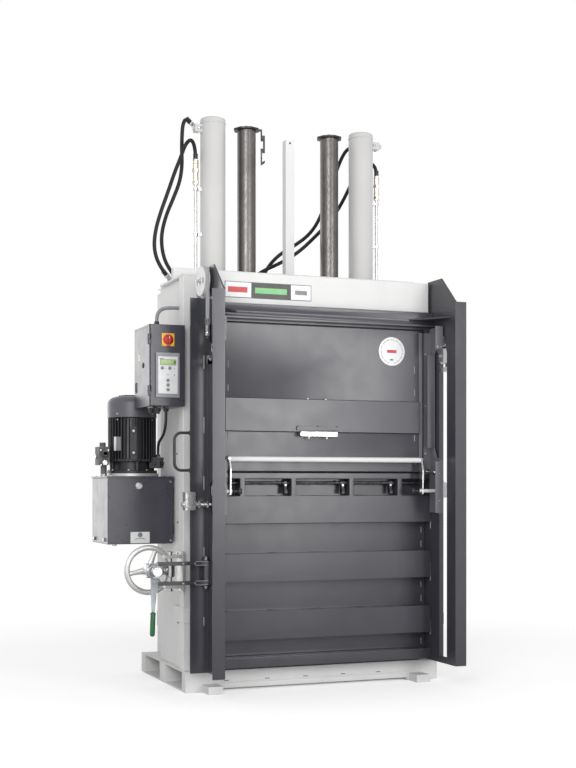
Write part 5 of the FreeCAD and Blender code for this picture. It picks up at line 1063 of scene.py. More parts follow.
def make_belt_hooks():
    """The foot on each carriage, the spring and the clamp that hold its belt, and a black strip of
    painted shadow under each clamp.
    """
    piece = Piece("belt_hooks", "zinc")
    front = -0.6138
    for side in SIDES:
        at = 0.648 * side
        piece.use("zinc")
        piece.block((0.609 * side, -0.6605, 1.62), (0.657 * side, -0.6405, 1.644))
        piece.block((0.639 * side, -0.6605, 1.62), (0.657 * side, -0.63, 1.66))
        piece.bolt((at, -0.6605, 1.64), -Y, 0.0062)
        piece.thread((at, front, 1.752), Z, 0.005, 0.08, 0.0026)
        piece.nut((at, front, 1.76), Z, 0.0105, 0.008, 0.009, 0.0095)
        piece.turned((at, front, 1.7705), Z, [(0.0125, 0), (0.0125, 0.003)], 24)
        coil = []
        for step in range(12 * 9):
            turn = math.tau * step / 12
            coil.append((at + 0.01 * math.cos(turn), front + 0.01 * math.sin(turn),
                         1.7745 + 0.004 * step / 12))
        piece.pipe(coil, 0.0016, 7)
        piece.block((at - 0.0105, front - 0.0065, 1.812), (at + 0.0105, front + 0.0065, 1.842))
        for height in (1.8195, 1.8345):
            piece.screw((at, front - 0.0065, height), -Y, 0.0038)
        piece.use("black")
        # A black tapered strip hanging below the clamp: painted shadow cast by the clamp.
        piece.skin([
            [Vector((at + way * 0.0085, depth + out * 0.0024, level)) for way, out in SQUARE]
            for depth, level in ((front, 1.756), (-0.618, 1.728), (-0.626, 1.696),
                                 (-0.635, 1.652))
        ])
        boot = [(0.008, 0), (0.012, 0.003), (0.012, 0.01), (0.007, 0.014)]
        piece.turned((at, front, 1.742), Z, boot, 24)
    piece.done("belt_clamps", 0.0, ("belt_clamps",))


def make_push_details():
    """Pivot bolts, washers and the round knob at the ends of the push bar's arms."""
    piece = Piece("push_bolts", "chrome")
    for side in SIDES:
        pivot = Vector((0.525 * side, PIVOT_Y, 1.005))
        piece.bolt(pivot + Vector((-0.004 * side, 0, 0)), (-side, 0, 0), 0.0105)
        piece.nut((0.525 * side, -0.572, 1.164), (side, 0, 0),
                  0.0165, 0.006, 0.014, 0.009, 36, foot=-0.004)
    piece.use("black")
    knob = [(0.006, 0), (0.006, 0.02), (0.014, 0.024), (0.0165, 0.032), (0.014, 0.041),
            (0.006, 0.045)]
    for side in SIDES:
        piece.turned((0.506 * side, PIVOT_Y, 1.005), (-side, 0, 0), knob, 30)
    piece.done("push_bar", 0.0003)
    pins = Piece("push_pins", "chrome")
    pin = [(0.017, 0), (0.017, 0.004), (0.0065, 0.005), (0.0065, 0.046), (0.01, 0.047),
           (0.01, 0.055), (0.004, 0.057)]
    for side in SIDES:
        pins.turned((0.601 * side, PIVOT_Y, 1.102), (-side, 0, 0), pin, 28)
    pins.done("carriages", 0.0003)


def make_claw_details():
    """Collars beside each claw on its shaft."""
    claws = (-0.196, 0.12, 0.392)
    piece = Piece("claw_collars", "black_steel")
    for at, way in product(claws, SIDES):
        piece.nut((at + 0.0085 * way, -0.48, 1.046), (way, 0, 0),
                  0.0125, 0.01, 0.011, 0.0115, 28)
        piece.screw((at + 0.0135 * way, -0.4925, 1.046), -Y, 0.003)
    piece.use("zinc")
    for at in claws:
        piece.bolt((at, -0.4915, 1.035), -Y, 0.0052)
    piece.done("bale_claws", 0.0003)


PULLEY_Y, PULLEY_Z = -0.542, 2.032
BELT_X = 0.648


def make_pulley_details():
    """Rim groove, hub and marks of each pulley, with the nut of its axle."""
    piece = Piece("pulley_faces", "nylon")
    rim = [(0.072, -0.001), (0.072, 0.0016), (0.066, 0.0016), (0.064, -0.0004),
           (0.03, -0.0004), (0.028, 0.0022), (0.02, 0.0022)]
    for side in SIDES:
        face = 0.662 * side
        piece.use("nylon")
        piece.turned((face, PULLEY_Y, PULLEY_Z), (side, 0, 0), rim, 56)
        piece.use("black")
        for way in SIDES:
            depth = PULLEY_Y + 0.046 * way - 0.0035
            piece.block((face - 0.0006, depth, 2.018),
                        (face - 0.0006 + 0.0014 * side, depth + 0.007, 2.046))
    piece.done("pulleys", 0.0)
    nuts = Piece("pulley_nuts", "zinc")
    for side in SIDES:
        nuts.bolt((0.67 * side, PULLEY_Y, PULLEY_Z), (side, 0, 0), 0.0125, stud=0.005)
    nuts.done("pulley_axles", 0.0003)


def make_stop_details():
    """Threads and hexagons of the side stop."""
    piece = Piece("stop_threads", "zinc")
    spot = (-0.572, 0.941)
    piece.thread((-0.686, *spot), X, 0.0088, 0.07, 0.0032)
    piece.nut((-0.686 - 0.001, *spot), X, 0.0195, 0.011, 0.0175, 0.0125)
    piece.nut((-0.642, *spot), X, 0.0185, 0.008, 0.017, 0.0095)
    piece.turned((-0.66, *spot), X, [(0.0165, 0), (0.0165, 0.003)], 28)
    piece.bolt((-0.752, *spot), -X, 0.017)
    for height in (0.932, 0.984):
        piece.screw((-0.735, -0.59, height), -Y, 0.0052)
    piece.done("side_stops", 0.0003)


def make_hinge_details():
    """Pin heads and grease nipples at the door hinges."""
    piece = Piece("hinge_heads", "zinc")
    for height in (0.33, 1.03, 1.72):
        spot = Vector((0.7, -0.44, height))
        reach = Vector((0, 0, 0.092))
        piece.nut(spot + reach, Z, 0.0145, 0.006, 0.012, 0.008, 30)
        piece.nut(spot - reach, -Z, 0.0135, 0.004, 0.0115, 0.006, 30)
        piece.nut(spot + Vector((0.0195, 0, 0)), X, 0.0035, 0.004, 0.002, 0.007, 14)
    piece.done("pivot_pins", 0.0003)


def make_handle_roots():
    """Weld rings where the pull handle meets the strip."""
    piece = Piece("handle_roots", "black")
    for height in (1.107, 1.29):
        root = [(0.0125, 0), (0.011, 0.004), (0.0072, 0.007)]
        piece.turned((-0.7128, -0.538, height), -X, root, 28)
    piece.done("pull_handle", 0.0)


# ------------------------------------------------------------------ details of the drive
MOTOR = Vector((-0.861, 0.01, 0.0))
TANK_FRONT = -0.163
TANK_LEFT, TANK_RIGHT = -1.033, -0.691
BOX_LEFT = -0.884
KEY_FRONT = -0.4451


def round_motor(angle, radius, height):
    """A spot on the motor: angle 0 faces the camera's side, positive to its right."""
    turn = math.radians(angle)
    toward = Vector((-0.363, -0.932, 0.0))
    right = Vector((0.932, -0.363, 0.0))
    out = toward * math.cos(turn) + right * math.sin(turn)
    return MOTOR + out * radius + Z * height, out


def motor_circle(radius, number, height, shift=0.0):
    return [MOTOR + Vector(spot) for spot in circle((0, 0, height), radius, number, shift)]


def pad(piece, spot, out, wide, tall, depths):
    """A thin block that lies on the motor."""
    place = facing(spot, out)
    piece.skin([[place @ Vector((a * wide, b * tall, depth)) for a, b in SQUARE]
                for depth in depths])


def make_motor_details():
    """Eye bosses, the bare rating field, foot bolts and the fan grille."""
    piece = Piece("motor_bosses", "motor")
    low, high = 1.165, 1.335
    socket = [(0.0075, 0), (0.0075, 0.0028), (0.0045, 0.0028), (0.0045, 0.001)]
    for angle in (10, 190):
        piece.use("motor")
        spot, out = round_motor(angle, 0.1245, (low + high) / 2)
        pad(piece, spot, out, 0.016, (high - low) / 2, (-0.02, 0.0))
        for height in (low + 0.036, high - 0.022):
            boss, out = round_motor(angle, 0.1243, height)
            piece.use("motor")
            piece.nut(boss, out, 0.0125, 0.0035, 0.011, 0.005, 30)
            piece.use("steel")
            piece.turned(boss + out * 0.005, out, socket, 6)
    piece.done("motor_body", 0.0004)
    plate = Piece("rating_field", "foil")
    for angle, finish, wide in ((-37, "foil", 0.0085), (-26, "key", 0.0125)):
        spot, out = round_motor(angle, 0.1258, 1.248)
        tall = 0.036
        if abs((facing(spot, out).to_3x3() @ Y).dot(Z)) < 0.5:
            tall, wide = wide, tall
        plate.use(finish)
        pad(plate, spot, out, wide, tall, (-0.0012, 0.0))
    plate.done("motor_body", 0.0003)
    bolts = Piece("motor_bolts", "zinc")
    for angle in (-29, 61, 151, 241):
        for radius, height, size, washer in ((0.1278, 1.402, 0.0052, True),
                                             (0.1262, 1.372, 0.0045, False)):
            spot, out = round_motor(angle, radius, height)
            bolts.bolt(spot, out, size, washer)
    for spot in motor_circle(0.106, 4, 1.1115):
        bolts.bolt(spot, Z, 0.0095)
    for spot in motor_circle(0.124, 8, 1.1105, 0.5):
        bolts.screw(spot, Z, 0.005)
    bolts.done("motor_flange", 0.0003)
    top = Piece("cowl_grille", "motor")
    high = 1.4997
    for radius in (0.02, 0.034, 0.048, 0.062):
        ring = motor_circle(radius, 40, high)
        top.pipe(ring + ring[:1], 0.0021, 6)
    for heading in circle((0, 0, 0), 1.0, 8):
        heading = Vector(heading)
        top.pipe([MOTOR + heading * reach + Z * high for reach in (0.012, 0.07)], 0.0022, 6)
    top.done("motor_cowl", 0.0)


def make_terminal_details():
    """Lid seam and screws of the motor's terminal box, and the gland beside its lead."""
    turn = math.radians(-32)
    out = Vector((math.cos(turn), math.sin(turn), 0.0))
    side = Vector((-out.y, out.x, 0.0))

    def spot(along, across, level):
        return MOTOR + out * along + side * across + Z * level

    piece = Piece("terminal_lid", "motor")
    low, high, half = 0.104, 0.1625, 0.0335
    top = 1.1785
    corners = ((low, -half), (high, -half), (high, half), (low, half))
    piece.skin([[spot(*corner, level) for corner in corners] for level in (1.167, top)])
    piece.use("zinc")
    for along, across in product((0.112, 0.154), (-0.026, 0.026)):
        piece.screw(spot(along, across, top), Z, 0.0036)
    piece.use("black")
    piece.nut(spot(0.1605, 0, 1.146), out, 0.013, 0.008, 0.009, 0.011)
    piece.nut(spot(0.132, -0.0325, 1.146), -side, 0.01, 0.006, 0.007, 0.008)
    piece.done("motor_body", 0.0005)


def make_valve_details():
    """The dark knob, the bright port nut and screws of the valve block."""
    low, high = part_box("valve_block")
    centre = (low.x + high.x) / 2
    front = -0.062
    piece = Piece("valve_knob", "black")
    knob = [(0.014, 0), (0.0155, 0.004), (0.0155, 0.02), (0.013, 0.024)]
    piece.turned((centre, front - 0.002, 1.1935), -Y, knob, 12)
    piece.use("zinc")
    port = [(0.015, 0), (0.015, 0.01), (0.013, 0.012), (0.0075, 0.012), (0.0075, 0.006)]
    piece.turned((centre + 0.001, front, 1.15), -Y, port, 6)
    for across, level in product((-0.019, 0.019), (1.138, 1.214)):
        piece.screw((centre + across, front, level), -Y, 0.0042)
    piece.nut((centre, -0.0207, 1.224), Z, 0.019, 0.009, 0.0165, 0.011)
    piece.nut((-1.052, -0.012, 1.182), -X, 0.014, 0.009, 0.012, 0.011, foot=-0.001)
    piece.use("steel")
    piece.nut((-1.022, -0.031, 1.08), Z, 0.0175, 0.012, 0.0165, 0.013, 28)
    piece.done("valve_block", 0.0004)


def make_tank_details():
    """Filler plug, lid and body screws, the bare plate and the seams of the oil tank."""
    piece = Piece("tank_fittings", "zinc")
    plug = [(0.0185, 0), (0.0185, 0.003), (0.0155, 0.005), (0.0155, 0.012), (0.0135, 0.014),
            (0.0085, 0.014), (0.0085, 0.007)]
    piece.turned((-0.869, TANK_FRONT, 1.031), -Y, plug, 36)
    piece.turned((-0.869, TANK_FRONT - 0.007, 1.031), -Y, [(0.0065, 0), (0.0065, 0.003)], 6)
    for height in (1.052, 0.75):
        piece.bolt((-0.703, TANK_FRONT, height), -Y, 0.0058)
    lid = ((TANK_LEFT + 0.02, TANK_LEFT + 0.17, TANK_RIGHT - 0.02), (TANK_FRONT + 0.012, 0.17))
    for at, depth in product(*lid):
        piece.bolt((at, depth, 1.08), Z, 0.005)
    for depth in (-0.1, 0.12):
        piece.nut((TANK_LEFT, depth, 0.756), -X, 0.011, 0.007, 0.009, 0.009)
    piece.nut((-0.985, -0.11, 0.734), -Z, 0.012, 0.008, 0.01, 0.01, foot=-0.001)
    piece.done("oil_tank", 0.0003)
    plate = Piece("tank_plate", "foil")
    (left, low), (right, high) = corners = (-0.914, 0.739), (-0.814, 0.796)
    middle = (left + right) / 2
    plate.field("foil", *corners, TANK_FRONT, 0.0012)
    arc = []
    for step in range(13):
        share = step / 12 - 0.5
        arc.append((middle + 0.052 * share, TANK_FRONT - 0.0013,
                    0.7575 + 0.006 * (1 - 4 * share * share)))
    plate.use("print_black")
    plate.pipe(arc, 0.0012, 6)
    plate.use("key")
    front = TANK_FRONT - 0.0012
    plate.turned((middle, front, 0.781), -Y, [(0.0125, 0), (0.0125, 0.0003)], 24)
    plate.use("zinc")
    rivet = [(0.0026, 0), (0.002, 0.0012), (0.0008, 0.0016)]
    for at, height in product((left + 0.007, right - 0.007), (low + 0.007, high - 0.007)):
        plate.turned((at, front, height), -Y, rivet, 12)
    plate.done("oil_tank", 0.0)
    seam = Piece("tank_seams", "case")
    for at in (TANK_RIGHT - 0.0175, TANK_LEFT + 0.001):
        seam.block((at - 0.0012, TANK_FRONT - 0.0014, 0.736),
                   (at + 0.0012, TANK_FRONT + 0.0002, 1.07))
    seam.block((TANK_LEFT - 0.0015, TANK_FRONT - 0.006, 1.0705),
               (TANK_RIGHT + 0.003, TANK_FRONT + 0.001, 1.0735))
    seam.done("oil_tank", 0.0004)


# ------------------------------------------------------------------ details of the controls
def make_box_details():
    """Latch, slot handle, bare field and seams of the control box."""
    piece = Piece("box_latch", "black")
    latch = [(0.0135, 0), (0.0135, 0.0025), (0.011, 0.0045), (0.005, 0.0045), (0.005, 0.0015)]
    piece.turned((BOX_LEFT, -0.296, 1.634), -X, latch, 32)
    piece.use("case")
    front, back, low, high = -0.172, -0.148, 1.503, 1.556
    inner = BOX_LEFT + 0.0002
    for y0, z0, y1, z1 in (
        (front, low, front + 0.004, high),
        (back - 0.004, low, back, high),
        (front, low, back, low + 0.004),
        (front, high - 0.004, back, high),
    ):
        piece.block((BOX_LEFT - 0.0035, y0, z0), (inner, y1, z1))
    piece.use("black")
    piece.block((BOX_LEFT - 0.0012, -0.168, 1.507), (inner, -0.152, 1.552))
    piece.use("pale")
    piece.block((BOX_LEFT - 0.0004, -0.238, 1.66), (inner, -0.202, 1.694))
    piece.done("control_box", 0.0003)
    lips = Piece("box_lip", "case")
    low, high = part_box("control_box")
    for level in (low.z + 0.01, high.z - 0.01):
        lips.block((BOX_LEFT - 0.001, -0.412, level - 0.0008), (inner, -0.13, level + 0.0008))
    lips.done("control_box", 0.0)


def make_keypad_details():
    """Display, round keys and small marks on the keypad's pale foil."""
    left, top = -0.848, 1.669
    piece = Piece("keypad_fields", "screen")

    def mark(finish, x0, low, x1, high, lift=0.0, thick=0.0004):
        piece.field(finish, (left + x0, top - low), (left + x1, top - high),
                    KEY_FRONT - lift, thick)

    mark("key", 0.008, 0.013, 0.029, 0.009)
    mark("black", 0.01, 0.043, 0.092, 0.015, thick=0.0003)
    mark("screen", 0.012, 0.041, 0.09, 0.017, 0.0003, 0.0005)
    for index in range(9):
        start = left + 0.017 + 0.0072 * index
        height = 0.006 + 0.003 * (index % 3 == 0)
        piece.field("print_green", (start, top - 0.037), (start + 0.0042, top - 0.037 + height),
                    KEY_FRONT - 0.0008, 0.0002)
    mark("print_black", 0.0815, 0.036, 0.0875, 0.022, 0.0008, 0.0002)
    for over, down in ((0.021, 0.058), (0.059, 0.058), (0.05, 0.118), (0.05, 0.141),
                       (0.05, 0.164)):
        x, y, z = left + over, KEY_FRONT, top - down
        piece.use("grey")
        piece.nut((x, y, z), -Y, 0.0088, 0.0009, 0.0076, 0.0014, 32)
        piece.use("key")
        piece.nut((x, y - 0.0012, z), -Y, 0.007, 0.0012, 0.0058, 0.0018, 32)
        piece.use("foil")
        piece.block((x - 0.0024, y - 0.0033, z - 0.0008), (x + 0.0024, y - 0.0028, z + 0.0008))
    piece.use("nylon")
    piece.nut((left + 0.021, KEY_FRONT, top - 0.09), -Y, 0.0052, 0.001, 0.0038, 0.0015, 24)
    piece.use("key")
    for over, down, size in ((0.05, 0.09, 0.003), (0.04, 0.06, 0.0018),
                             (0.083, 0.06, 0.0026), (0.083, 0.091, 0.0026)):
        piece.turned((left + over, KEY_FRONT, top - down), -Y, [(size, 0), (size, 0.0006)], 14)
    piece.use("grey")
    for over in (0.006, 0.094):
        spot = (left + over, KEY_FRONT, top - 0.172 - 0.006)
        piece.turned(spot, -Y, [(0.0012, 0), (0.0012, 0.0004)], 10)
    piece.done("keypad", 0.0)
    screws = Piece("keypad_screws", "steel")
    for over, up in product((-0.054, 0.054), (-0.104, 0.104)):
        screws.screw((-0.798 + over, -0.4445, 1.577 + up), -Y, 0.0024)
    screws.done("keypad", 0.0)


def make_switch_details():
    """Collar, pointer field and padlock tab of the main switch."""
    centre = Vector((-0.795, -0.4395, 1.752))
    plate = Piece("switch_collar", "yellow")
    plate.use("print_red")
    collar = [(0.0262, 0), (0.0262, 0.0022), (0.0235, 0.0034), (0.0212, 0.0034)]
    plate.turned(centre, -Y, collar, 44)
    plate.use("red")
    plate.block((centre.x - 0.0075, centre.y - 0.006, centre.z - 0.0325),
                (centre.x + 0.0075, centre.y, centre.z - 0.0205))
    plate.use("yellow")
    hole = [(0.0028, 0), (0.0028, 0.0006), (0.0018, 0.0006), (0.0018, -0.0008)]
    for over, up in product(SIDES, SIDES):
        spot = (centre.x + 0.0255 * over, centre.y, centre.z + 0.0255 * up)
        plate.turned(spot, -Y, hole, 16)
    plate.done("switch_plate", 0.0003)


def squared(value, power):
    """A cosine or sine bent so that its circle turns into a rounded oblong."""
    return math.copysign(abs(value) ** power, value)


def make_knob():
    """The main switch's knob with its upright grip, as it stands when it is on."""
    low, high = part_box("switch_knob")
    centre = (low + high) / 2
    back = high.y
    piece = Piece("switch_grip", "red")
    base = [(0.0208, 0), (0.0208, 0.0075), (0.0195, 0.011), (0.0175, 0.012)]
    piece.turned((centre.x, back, centre.z), -Y, base, 40)
    turns = [math.tau * step / 20 for step in range(20)]
    piece.skin([
        [Vector((centre.x + half * squared(math.cos(turn), 0.6), back - 0.0118 - depth,
                 centre.z + tall * squared(math.sin(turn), 0.8))) for turn in turns]
        for depth, half, tall in ((0.0, 0.0062, 0.0198), (0.01, 0.0052, 0.019),
                                  (0.0125, 0.004, 0.0172))
    ])
    for step in range(18):
        turn = math.tau * step / 18
        spot = (centre.x + 0.0204 * math.cos(turn), back - 0.001,
                centre.z + 0.0204 * math.sin(turn))
        piece.nut(spot, -Y, 0.0012, 0.0085, 0.0006, 0.0092)
    piece.use("foil")
    piece.block((centre.x - 0.0016, back - 0.025, centre.z + 0.003),
                (centre.x + 0.0016, back - 0.0238, centre.z + 0.015))
    piece.done("switch_knob", 0.0004, ("switch_knob",))


def make_gland_details():
    """Lock nuts, grips and ribbed sleeves of the cable glands."""
    piece = Piece("gland_nuts", "black")
    for over in (-0.775, -0.815, -0.855):
        spot = Vector((over, -0.33, 1.425))
        piece.use("steel")
        piece.nut(spot, -Z, 0.015, 0.005, 0.014, 0.006)
        piece.use("black")
        grip = [(0.0138, 0), (0.0138, 0.008), (0.0115, 0.0125), (0.0085, 0.0135)]
        piece.turned(spot - Z * 0.009, -Z, grip, 10)
    for over in (-0.815, -0.855):
        blank = [(0.0085, 0), (0.0078, 0.01), (0.0052, 0.012)]
        piece.turned((over, -0.33, 1.403), -Z, blank, 20)
    top = Vector((-0.805, -0.265, 1.829))
    piece.use("steel")
    piece.nut(top, Z, 0.015, 0.006, 0.014, 0.007)
    piece.use("black")
    grip = [(0.014, 0), (0.014, 0.01), (0.0125, 0.0135), (0.0098, 0.0145)]
    piece.turned(top + Z * 0.012, Z, grip, 10)
    piece.nut((-0.64, -0.265, 1.934), -X, 0.015, 0.006, 0.0135, 0.0075)
    grip = [(0.0135, 0), (0.0135, 0.008), (0.011, 0.0125), (0.0078, 0.014)]
    piece.turned((-0.7423, -0.0642, 1.178), Z, grip, 10)
    piece.done("cable_glands", 0.0)


def make_board_details():
    """Rows of terminals on the plate inside the control box."""
    low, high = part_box("control_board")
    piece = Piece("board_rows", "grey")
    front = low.y
    for level, finish, number in ((0.03, "grey", 12), (0.12, "key", 8), (0.26, "grey", 10)):
        wide = (high.x - low.x - 0.016) / number
        for index in range(number):
            start = low.x + 0.008 + wide * index
            piece.use(finish if index % 3 else "foil")
            piece.block((start + 0.0006, front - 0.01, low.z + level),
                        (start + wide - 0.0006, front + 0.004, low.z + level + 0.042))
            piece.use("steel")
            spot = (start + wide / 2, front - 0.01, low.z + level + 0.034)
            piece.turned(spot, -Y, [(0.0022, 0), (0.0022, 0.0006)], 10)
    piece.done("control_board", 0.0003)


# ------------------------------------------------------------------ details of the lock
LOCK = Vector((-0.865, 0.0, 0.612))
LOCK_PIN = (-0.77, -0.385)
WHEEL_Y = -0.33
LEVER_DOWN = Vector((-math.sin(math.radians(2)), 0.0, -math.cos(math.radians(2))))


def make_lug_details():
    """Ends, welds and bolt heads of the two lock lugs."""
    piece = Piece("lug_bolts", "steel")
    for height, way in ((0.655, 1), (0.56, -1)):
        piece.bolt((-0.638, -0.5595, height + 0.017 * way), (0, 0, way), 0.0115, stud=0.004)
        for at in (-0.7, -0.76):
            piece.screw((at, -0.578, height), -Y, 0.005)
    # The lug welds take the paler weld paint: painted highlight on real beads.
    piece.use("stitch")
    seeds = count(701)
    for height, edge in product((0.56, 0.655), (-0.0094, 0.0094)):
        level = height + edge
        piece.weld((-0.63, -0.5785, level), (-0.7, -0.5785, level), 0.0022, next(seeds))
    piece.done("lock_lugs", 0.0003)


def make_bracket_details():
    """Bolts and welds of the lock's bracket, and the nuts of its pin."""
    piece = Piece("bracket_bolts", "zinc")
    for depth, height in product((-0.325, -0.392), (0.517, 0.693)):
        piece.bolt((-0.713, depth, height), -X, 0.0072)
    for height, way in ((0.7, 1), (0.512, -1)):
        piece.nut((*LOCK_PIN, height - 0.001 * way), (0, 0, way), 0.0165, 0.004, 0.014, 0.006, 32)
    piece.use("alloy")
    seeds = count(761)
    for height, edge in product((0.53, 0.68), (-0.0088, 0.0088)):
        level = height + edge
        piece.weld((-0.7135, -0.365, level), (-0.7135, -0.405, level), 0.0024, next(seeds))
    piece.done("lock_bracket", 0.0003)


def make_arm_details():
    """Nuts, an eye, two washers on the pin and bolt heads on both faces of the block of the lock
    arm.
    """
    piece = Piece("arm_parts", "zinc")
    for along in (-0.8115, -0.8245):
        piece.nut((along, -0.385, LOCK.z), -X, 0.025, 0.009, 0.0225, 0.0105)
    piece.nut((-0.796, -0.385, LOCK.z), -X, 0.0215, 0.01, 0.017, 0.014, 32)
    for way in (1, -1):
        piece.nut((*LOCK_PIN, LOCK.z + 0.03 * way), (0, 0, way),
                  0.0225, 0.002, 0.0205, 0.004, 36, foot=-0.002)
    for over, up in product((-0.026, 0.026), (-0.026, 0.026)):
        piece.bolt((LOCK.x + over, -0.414, LOCK.z + up), -Y, 0.0048)
        piece.bolt((LOCK.x + over, -0.356, LOCK.z + up), Y, 0.0048)
    piece.done("lock_arm", 0.0004)


def make_wheel():
    """The cast handwheel: a rim with finger rests, three tapered spokes and a long hub."""
    low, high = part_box("handwheel")
    tube = 0.014
    radius = (high.x - low.x) / 2 - tube
    hub = Vector((LOCK.x, WHEEL_Y, LOCK.z))
    piece = Piece("wheel_casting", "alloy")
    rows = []
    for step in range(96):
        turn = math.tau * step / 96
        out = Vector((math.cos(turn), 0.0, math.sin(turn)))
        row = []
        for part in range(20):
            angle = math.tau * part / 20
            grip = 1.0 + 0.035 * math.cos(6 * turn) * max(0.0, -math.cos(angle))
            reach = radius + tube * grip * math.cos(angle)
            row.append(piece.bm.verts.new(hub + out * reach + Y * (tube * math.sin(angle))))
        rows.append(row)
    for row, after in zip(rows, rows[1:] + rows[:1]):
        for part in range(20):
            beside = (part + 1) % 20
            piece.bm.faces.new((row[part], row[beside], after[beside], after[part]))
    stations = ((0.024, 0.017, 0.0105, 0.0), (0.05, 0.0135, 0.0085, 0.002),
                (0.08, 0.011, 0.0075, 0.001), (0.104, 0.0125, 0.0085, 0.0))
    for degrees in (20, 140, 260):
        turn = math.radians(degrees)
        out = Vector((math.sin(turn), 0.0, math.cos(turn)))
        side = Vector((out.z, 0.0, -out.x))
        piece.skin([
            [hub + Y * lift + out * along + side * (wide * across) + Y * (thick * deep)
             for across, deep, _ in circle((0, 0, 0), 1.0, 16)]
            for along, wide, thick, lift in stations
        ])
    bell = [(0.0235, 0), (0.0285, 0.004), (0.0298, 0.012), (0.029, 0.03), (0.0255, 0.046),
            (0.023, 0.051)]
    piece.turned((LOCK.x, -0.3515, LOCK.z), Y, bell, 44)
    piece.use("zinc")
    piece.nut((LOCK.x, -0.3, LOCK.z), Y, 0.02, 0.008, 0.018, 0.01, foot=-0.001)
    piece.done("handwheel", 0.0, ("handwheel",))


def make_screw_details():
    """The thread that shows on both sides of the lock block."""
    piece = Piece("screw_thread", "zinc")
    piece.thread((LOCK.x, -0.2985, LOCK.z), Y, 0.0152, 0.034, 0.0036, 26)
    piece.turned((LOCK.x, -0.2635, LOCK.z), Y, [(0.0138, 0), (0.012, 0.0015)], 26)
    collar = [(0.0225, -0.0005), (0.024, 0.0015), (0.024, 0.012), (0.0225, 0.0145)]
    piece.turned((LOCK.x, -0.5, LOCK.z), Y, collar, 36)
    centre = [(0.0135, 0), (0.0135, 0.0004), (0.006, 0.0004), (0.004, -0.004)]
    piece.turned((LOCK.x, -0.4995, LOCK.z), -Y, centre, 26)
    piece.thread((LOCK.x, -0.4855, LOCK.z), Y, 0.0152, 0.023, 0.0036, 26)
    piece.done("lock_screw", 0.0)


def make_lever_details():
    """Ratchet housing screws, the pawl's spring cap and the raised rim of the forging."""
    piece = Piece("ratchet_parts", "steel")
    face = -0.462
    for step in range(5):
        turn = math.tau * (step + 0.25) / 5
        spot = (LOCK.x + 0.0285 * math.cos(turn), face, LOCK.z + 0.0285 * math.sin(turn))
        piece.screw(spot, -Y, 0.0036)
    collar = [(0.0235, -0.001), (0.0235, 0.0022), (0.0215, 0.0034), (0.0165, 0.0034)]
    piece.turned((LOCK.x, face, LOCK.z), -Y, collar, 40)
    out = LEVER_DOWN
    side = Vector((out.z, 0.0, -out.x))
    start = LOCK + Y * -0.4462
    rim = ((-0.0014, 0.0), (0.0014, 0.0), (0.001, -0.0018), (-0.001, -0.0018))
    for way in SIDES:
        piece.skin([
            [start + out * along + side * (half * way) + side * a + Y * b for a, b in rim]
            for along, half in ((0.04, 0.0168), (0.19, 0.0066))
        ])
    piece.use("zinc")
    piece.bolt(start + out * 0.053 + Y * 0.0005, -Y, 0.0052, washer=False)
    piece.done("ratchet_lever", 0.0003)


def make_grip_details():
    """Moulded ribs and the collar of the lever's grip."""
    piece = Piece("grip_ribs", "green")
    start = LOCK + Y * -0.44
    rib = [(0.0122, 0), (0.0131, 0.0012), (0.0131, 0.003), (0.0122, 0.0042)]
    for step in range(9):
        piece.turned(start + LEVER_DOWN * (0.226 + 0.0085 * step), LEVER_DOWN, rib, 32)
    collar = [(0.0118, 0), (0.0142, 0.002), (0.0142, 0.006), (0.0122, 0.0085)]
    piece.turned(start + LEVER_DOWN * 0.2035, LEVER_DOWN, collar, 32)
    piece.done("lever_grip", 0.0)


# ------------------------------------------------------------------ belts and press plate
def belt_strip(piece, at, path):
    """A flat belt: path holds (y, z) with the direction square to the belt."""
    half, thick = 0.009, 0.0015
    piece.skin([
        [Vector((at + half * way, depth + out_y * thick * lift, height + out_z * thick * lift))
         for way, lift in SQUARE]
        for depth, height, out_y, out_z in path
    ])


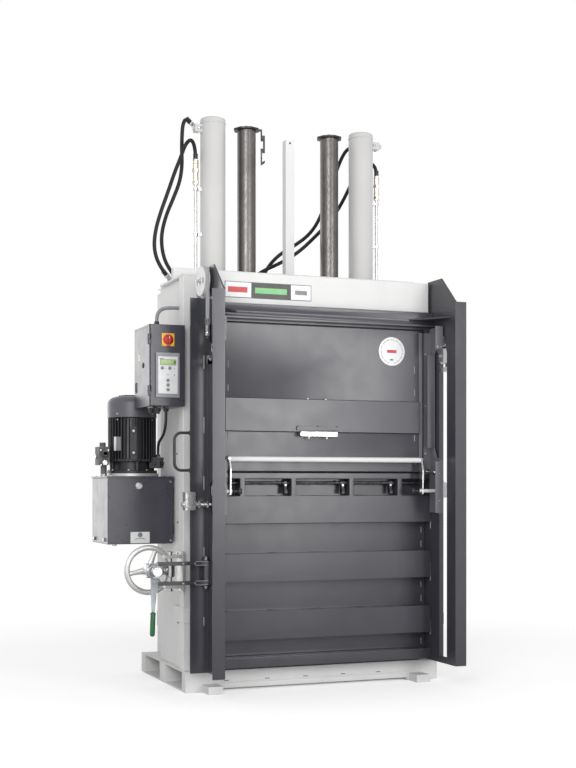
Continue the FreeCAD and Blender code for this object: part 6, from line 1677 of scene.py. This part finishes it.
def make_belts():
    """Each belt in three pieces: over its pulley, down to the loading door, down to its weight."""
    low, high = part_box("belts")
    radius = (high.y - low.y) / 2 - 0.0015
    front, back = PULLEY_Y - radius, PULLEY_Y + radius
    clamp = 1.834
    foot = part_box("counterweights")[1].z
    over = Piece("belt_over", "belt")
    down = Piece("belt_down", "belt")
    rear = Piece("belt_rear", "belt")
    for side in SIDES:
        at = BELT_X * side
        path = []
        for step in range(33):
            turn = math.pi * step / 32
            path.append((PULLEY_Y - radius * math.cos(turn), PULLEY_Z + radius * math.sin(turn),
                         -math.cos(turn), math.sin(turn)))
        belt_strip(over, at, path)
        for piece, depth, end, parts, way in ((down, front, clamp, 6, -1),
                                              (rear, back, foot, 12, 1)):
            belt_strip(piece, at, [(depth, PULLEY_Z - (PULLEY_Z - end) * step / parts, way, 0)
                                   for step in range(parts + 1)])
    over.done("belts", 0.0, ("belts",))
    for piece, node, depth, end in ((down, "carriages", front, clamp),
                                    (rear, "counterweights", back, foot)):
        run = piece.done(None, 0.0)
        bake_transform(run)


def make_weight_details():
    """Belt clamp of each counterweight."""
    piece = Piece("weight_clamps", "zinc")
    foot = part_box("counterweights")[1].z
    depth = PULLEY_Y + 0.0718
    for side in SIDES:
        at = BELT_X * side
        piece.block((at - 0.0105, depth - 0.006, foot), (at + 0.0105, depth + 0.006, foot + 0.034))
        for height in (foot + 0.01, foot + 0.025):
            piece.screw((at, depth - 0.006, height), -Y, 0.0036)
    piece.done("counterweights", 0.0003)


def make_platen_details():
    """Bolts of the feet of the rods and the columns on the press plate."""
    piece = Piece("platen_bolts", "black_steel")
    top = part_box("platen")[1].z
    for places, radius, shift, size in (((-RAM_X, RAM_X), 0.055, 0, 0.0085),
                                        (COLUMNS, 0.07, 0.5, 0.0075)):
        for at in places:
            for spot in circle((at, RAM_Y, top), radius, 6, shift):
                piece.bolt(spot, Z, size)
    piece.done("platen", 0.0003)


for make in (
    make_camera, make_stage, make_cords, dress_all,
    make_name_fields, make_cylinder_details, make_pipe_fittings, make_hose_nuts,
    make_column_details, make_mast_details, make_frame_welds, make_rear_details,
    make_post_details,
    make_door_welds, make_rail_skirt, make_sheet_welds, make_round_label, make_handle_bolts,
    make_carriage_bolts, make_belt_hooks, make_belts, make_weight_details, make_push_details,
    make_claw_details, make_pulley_details, make_stop_details, make_hinge_details,
    make_handle_roots,
    make_motor_details, make_terminal_details, make_valve_details, make_tank_details,
    make_box_details, make_keypad_details, make_switch_details, make_knob,
    make_gland_details, make_board_details,
    make_lug_details, make_bracket_details, make_arm_details, make_wheel,
    make_screw_details, make_lever_details, make_grip_details, make_platen_details,
):
    make()
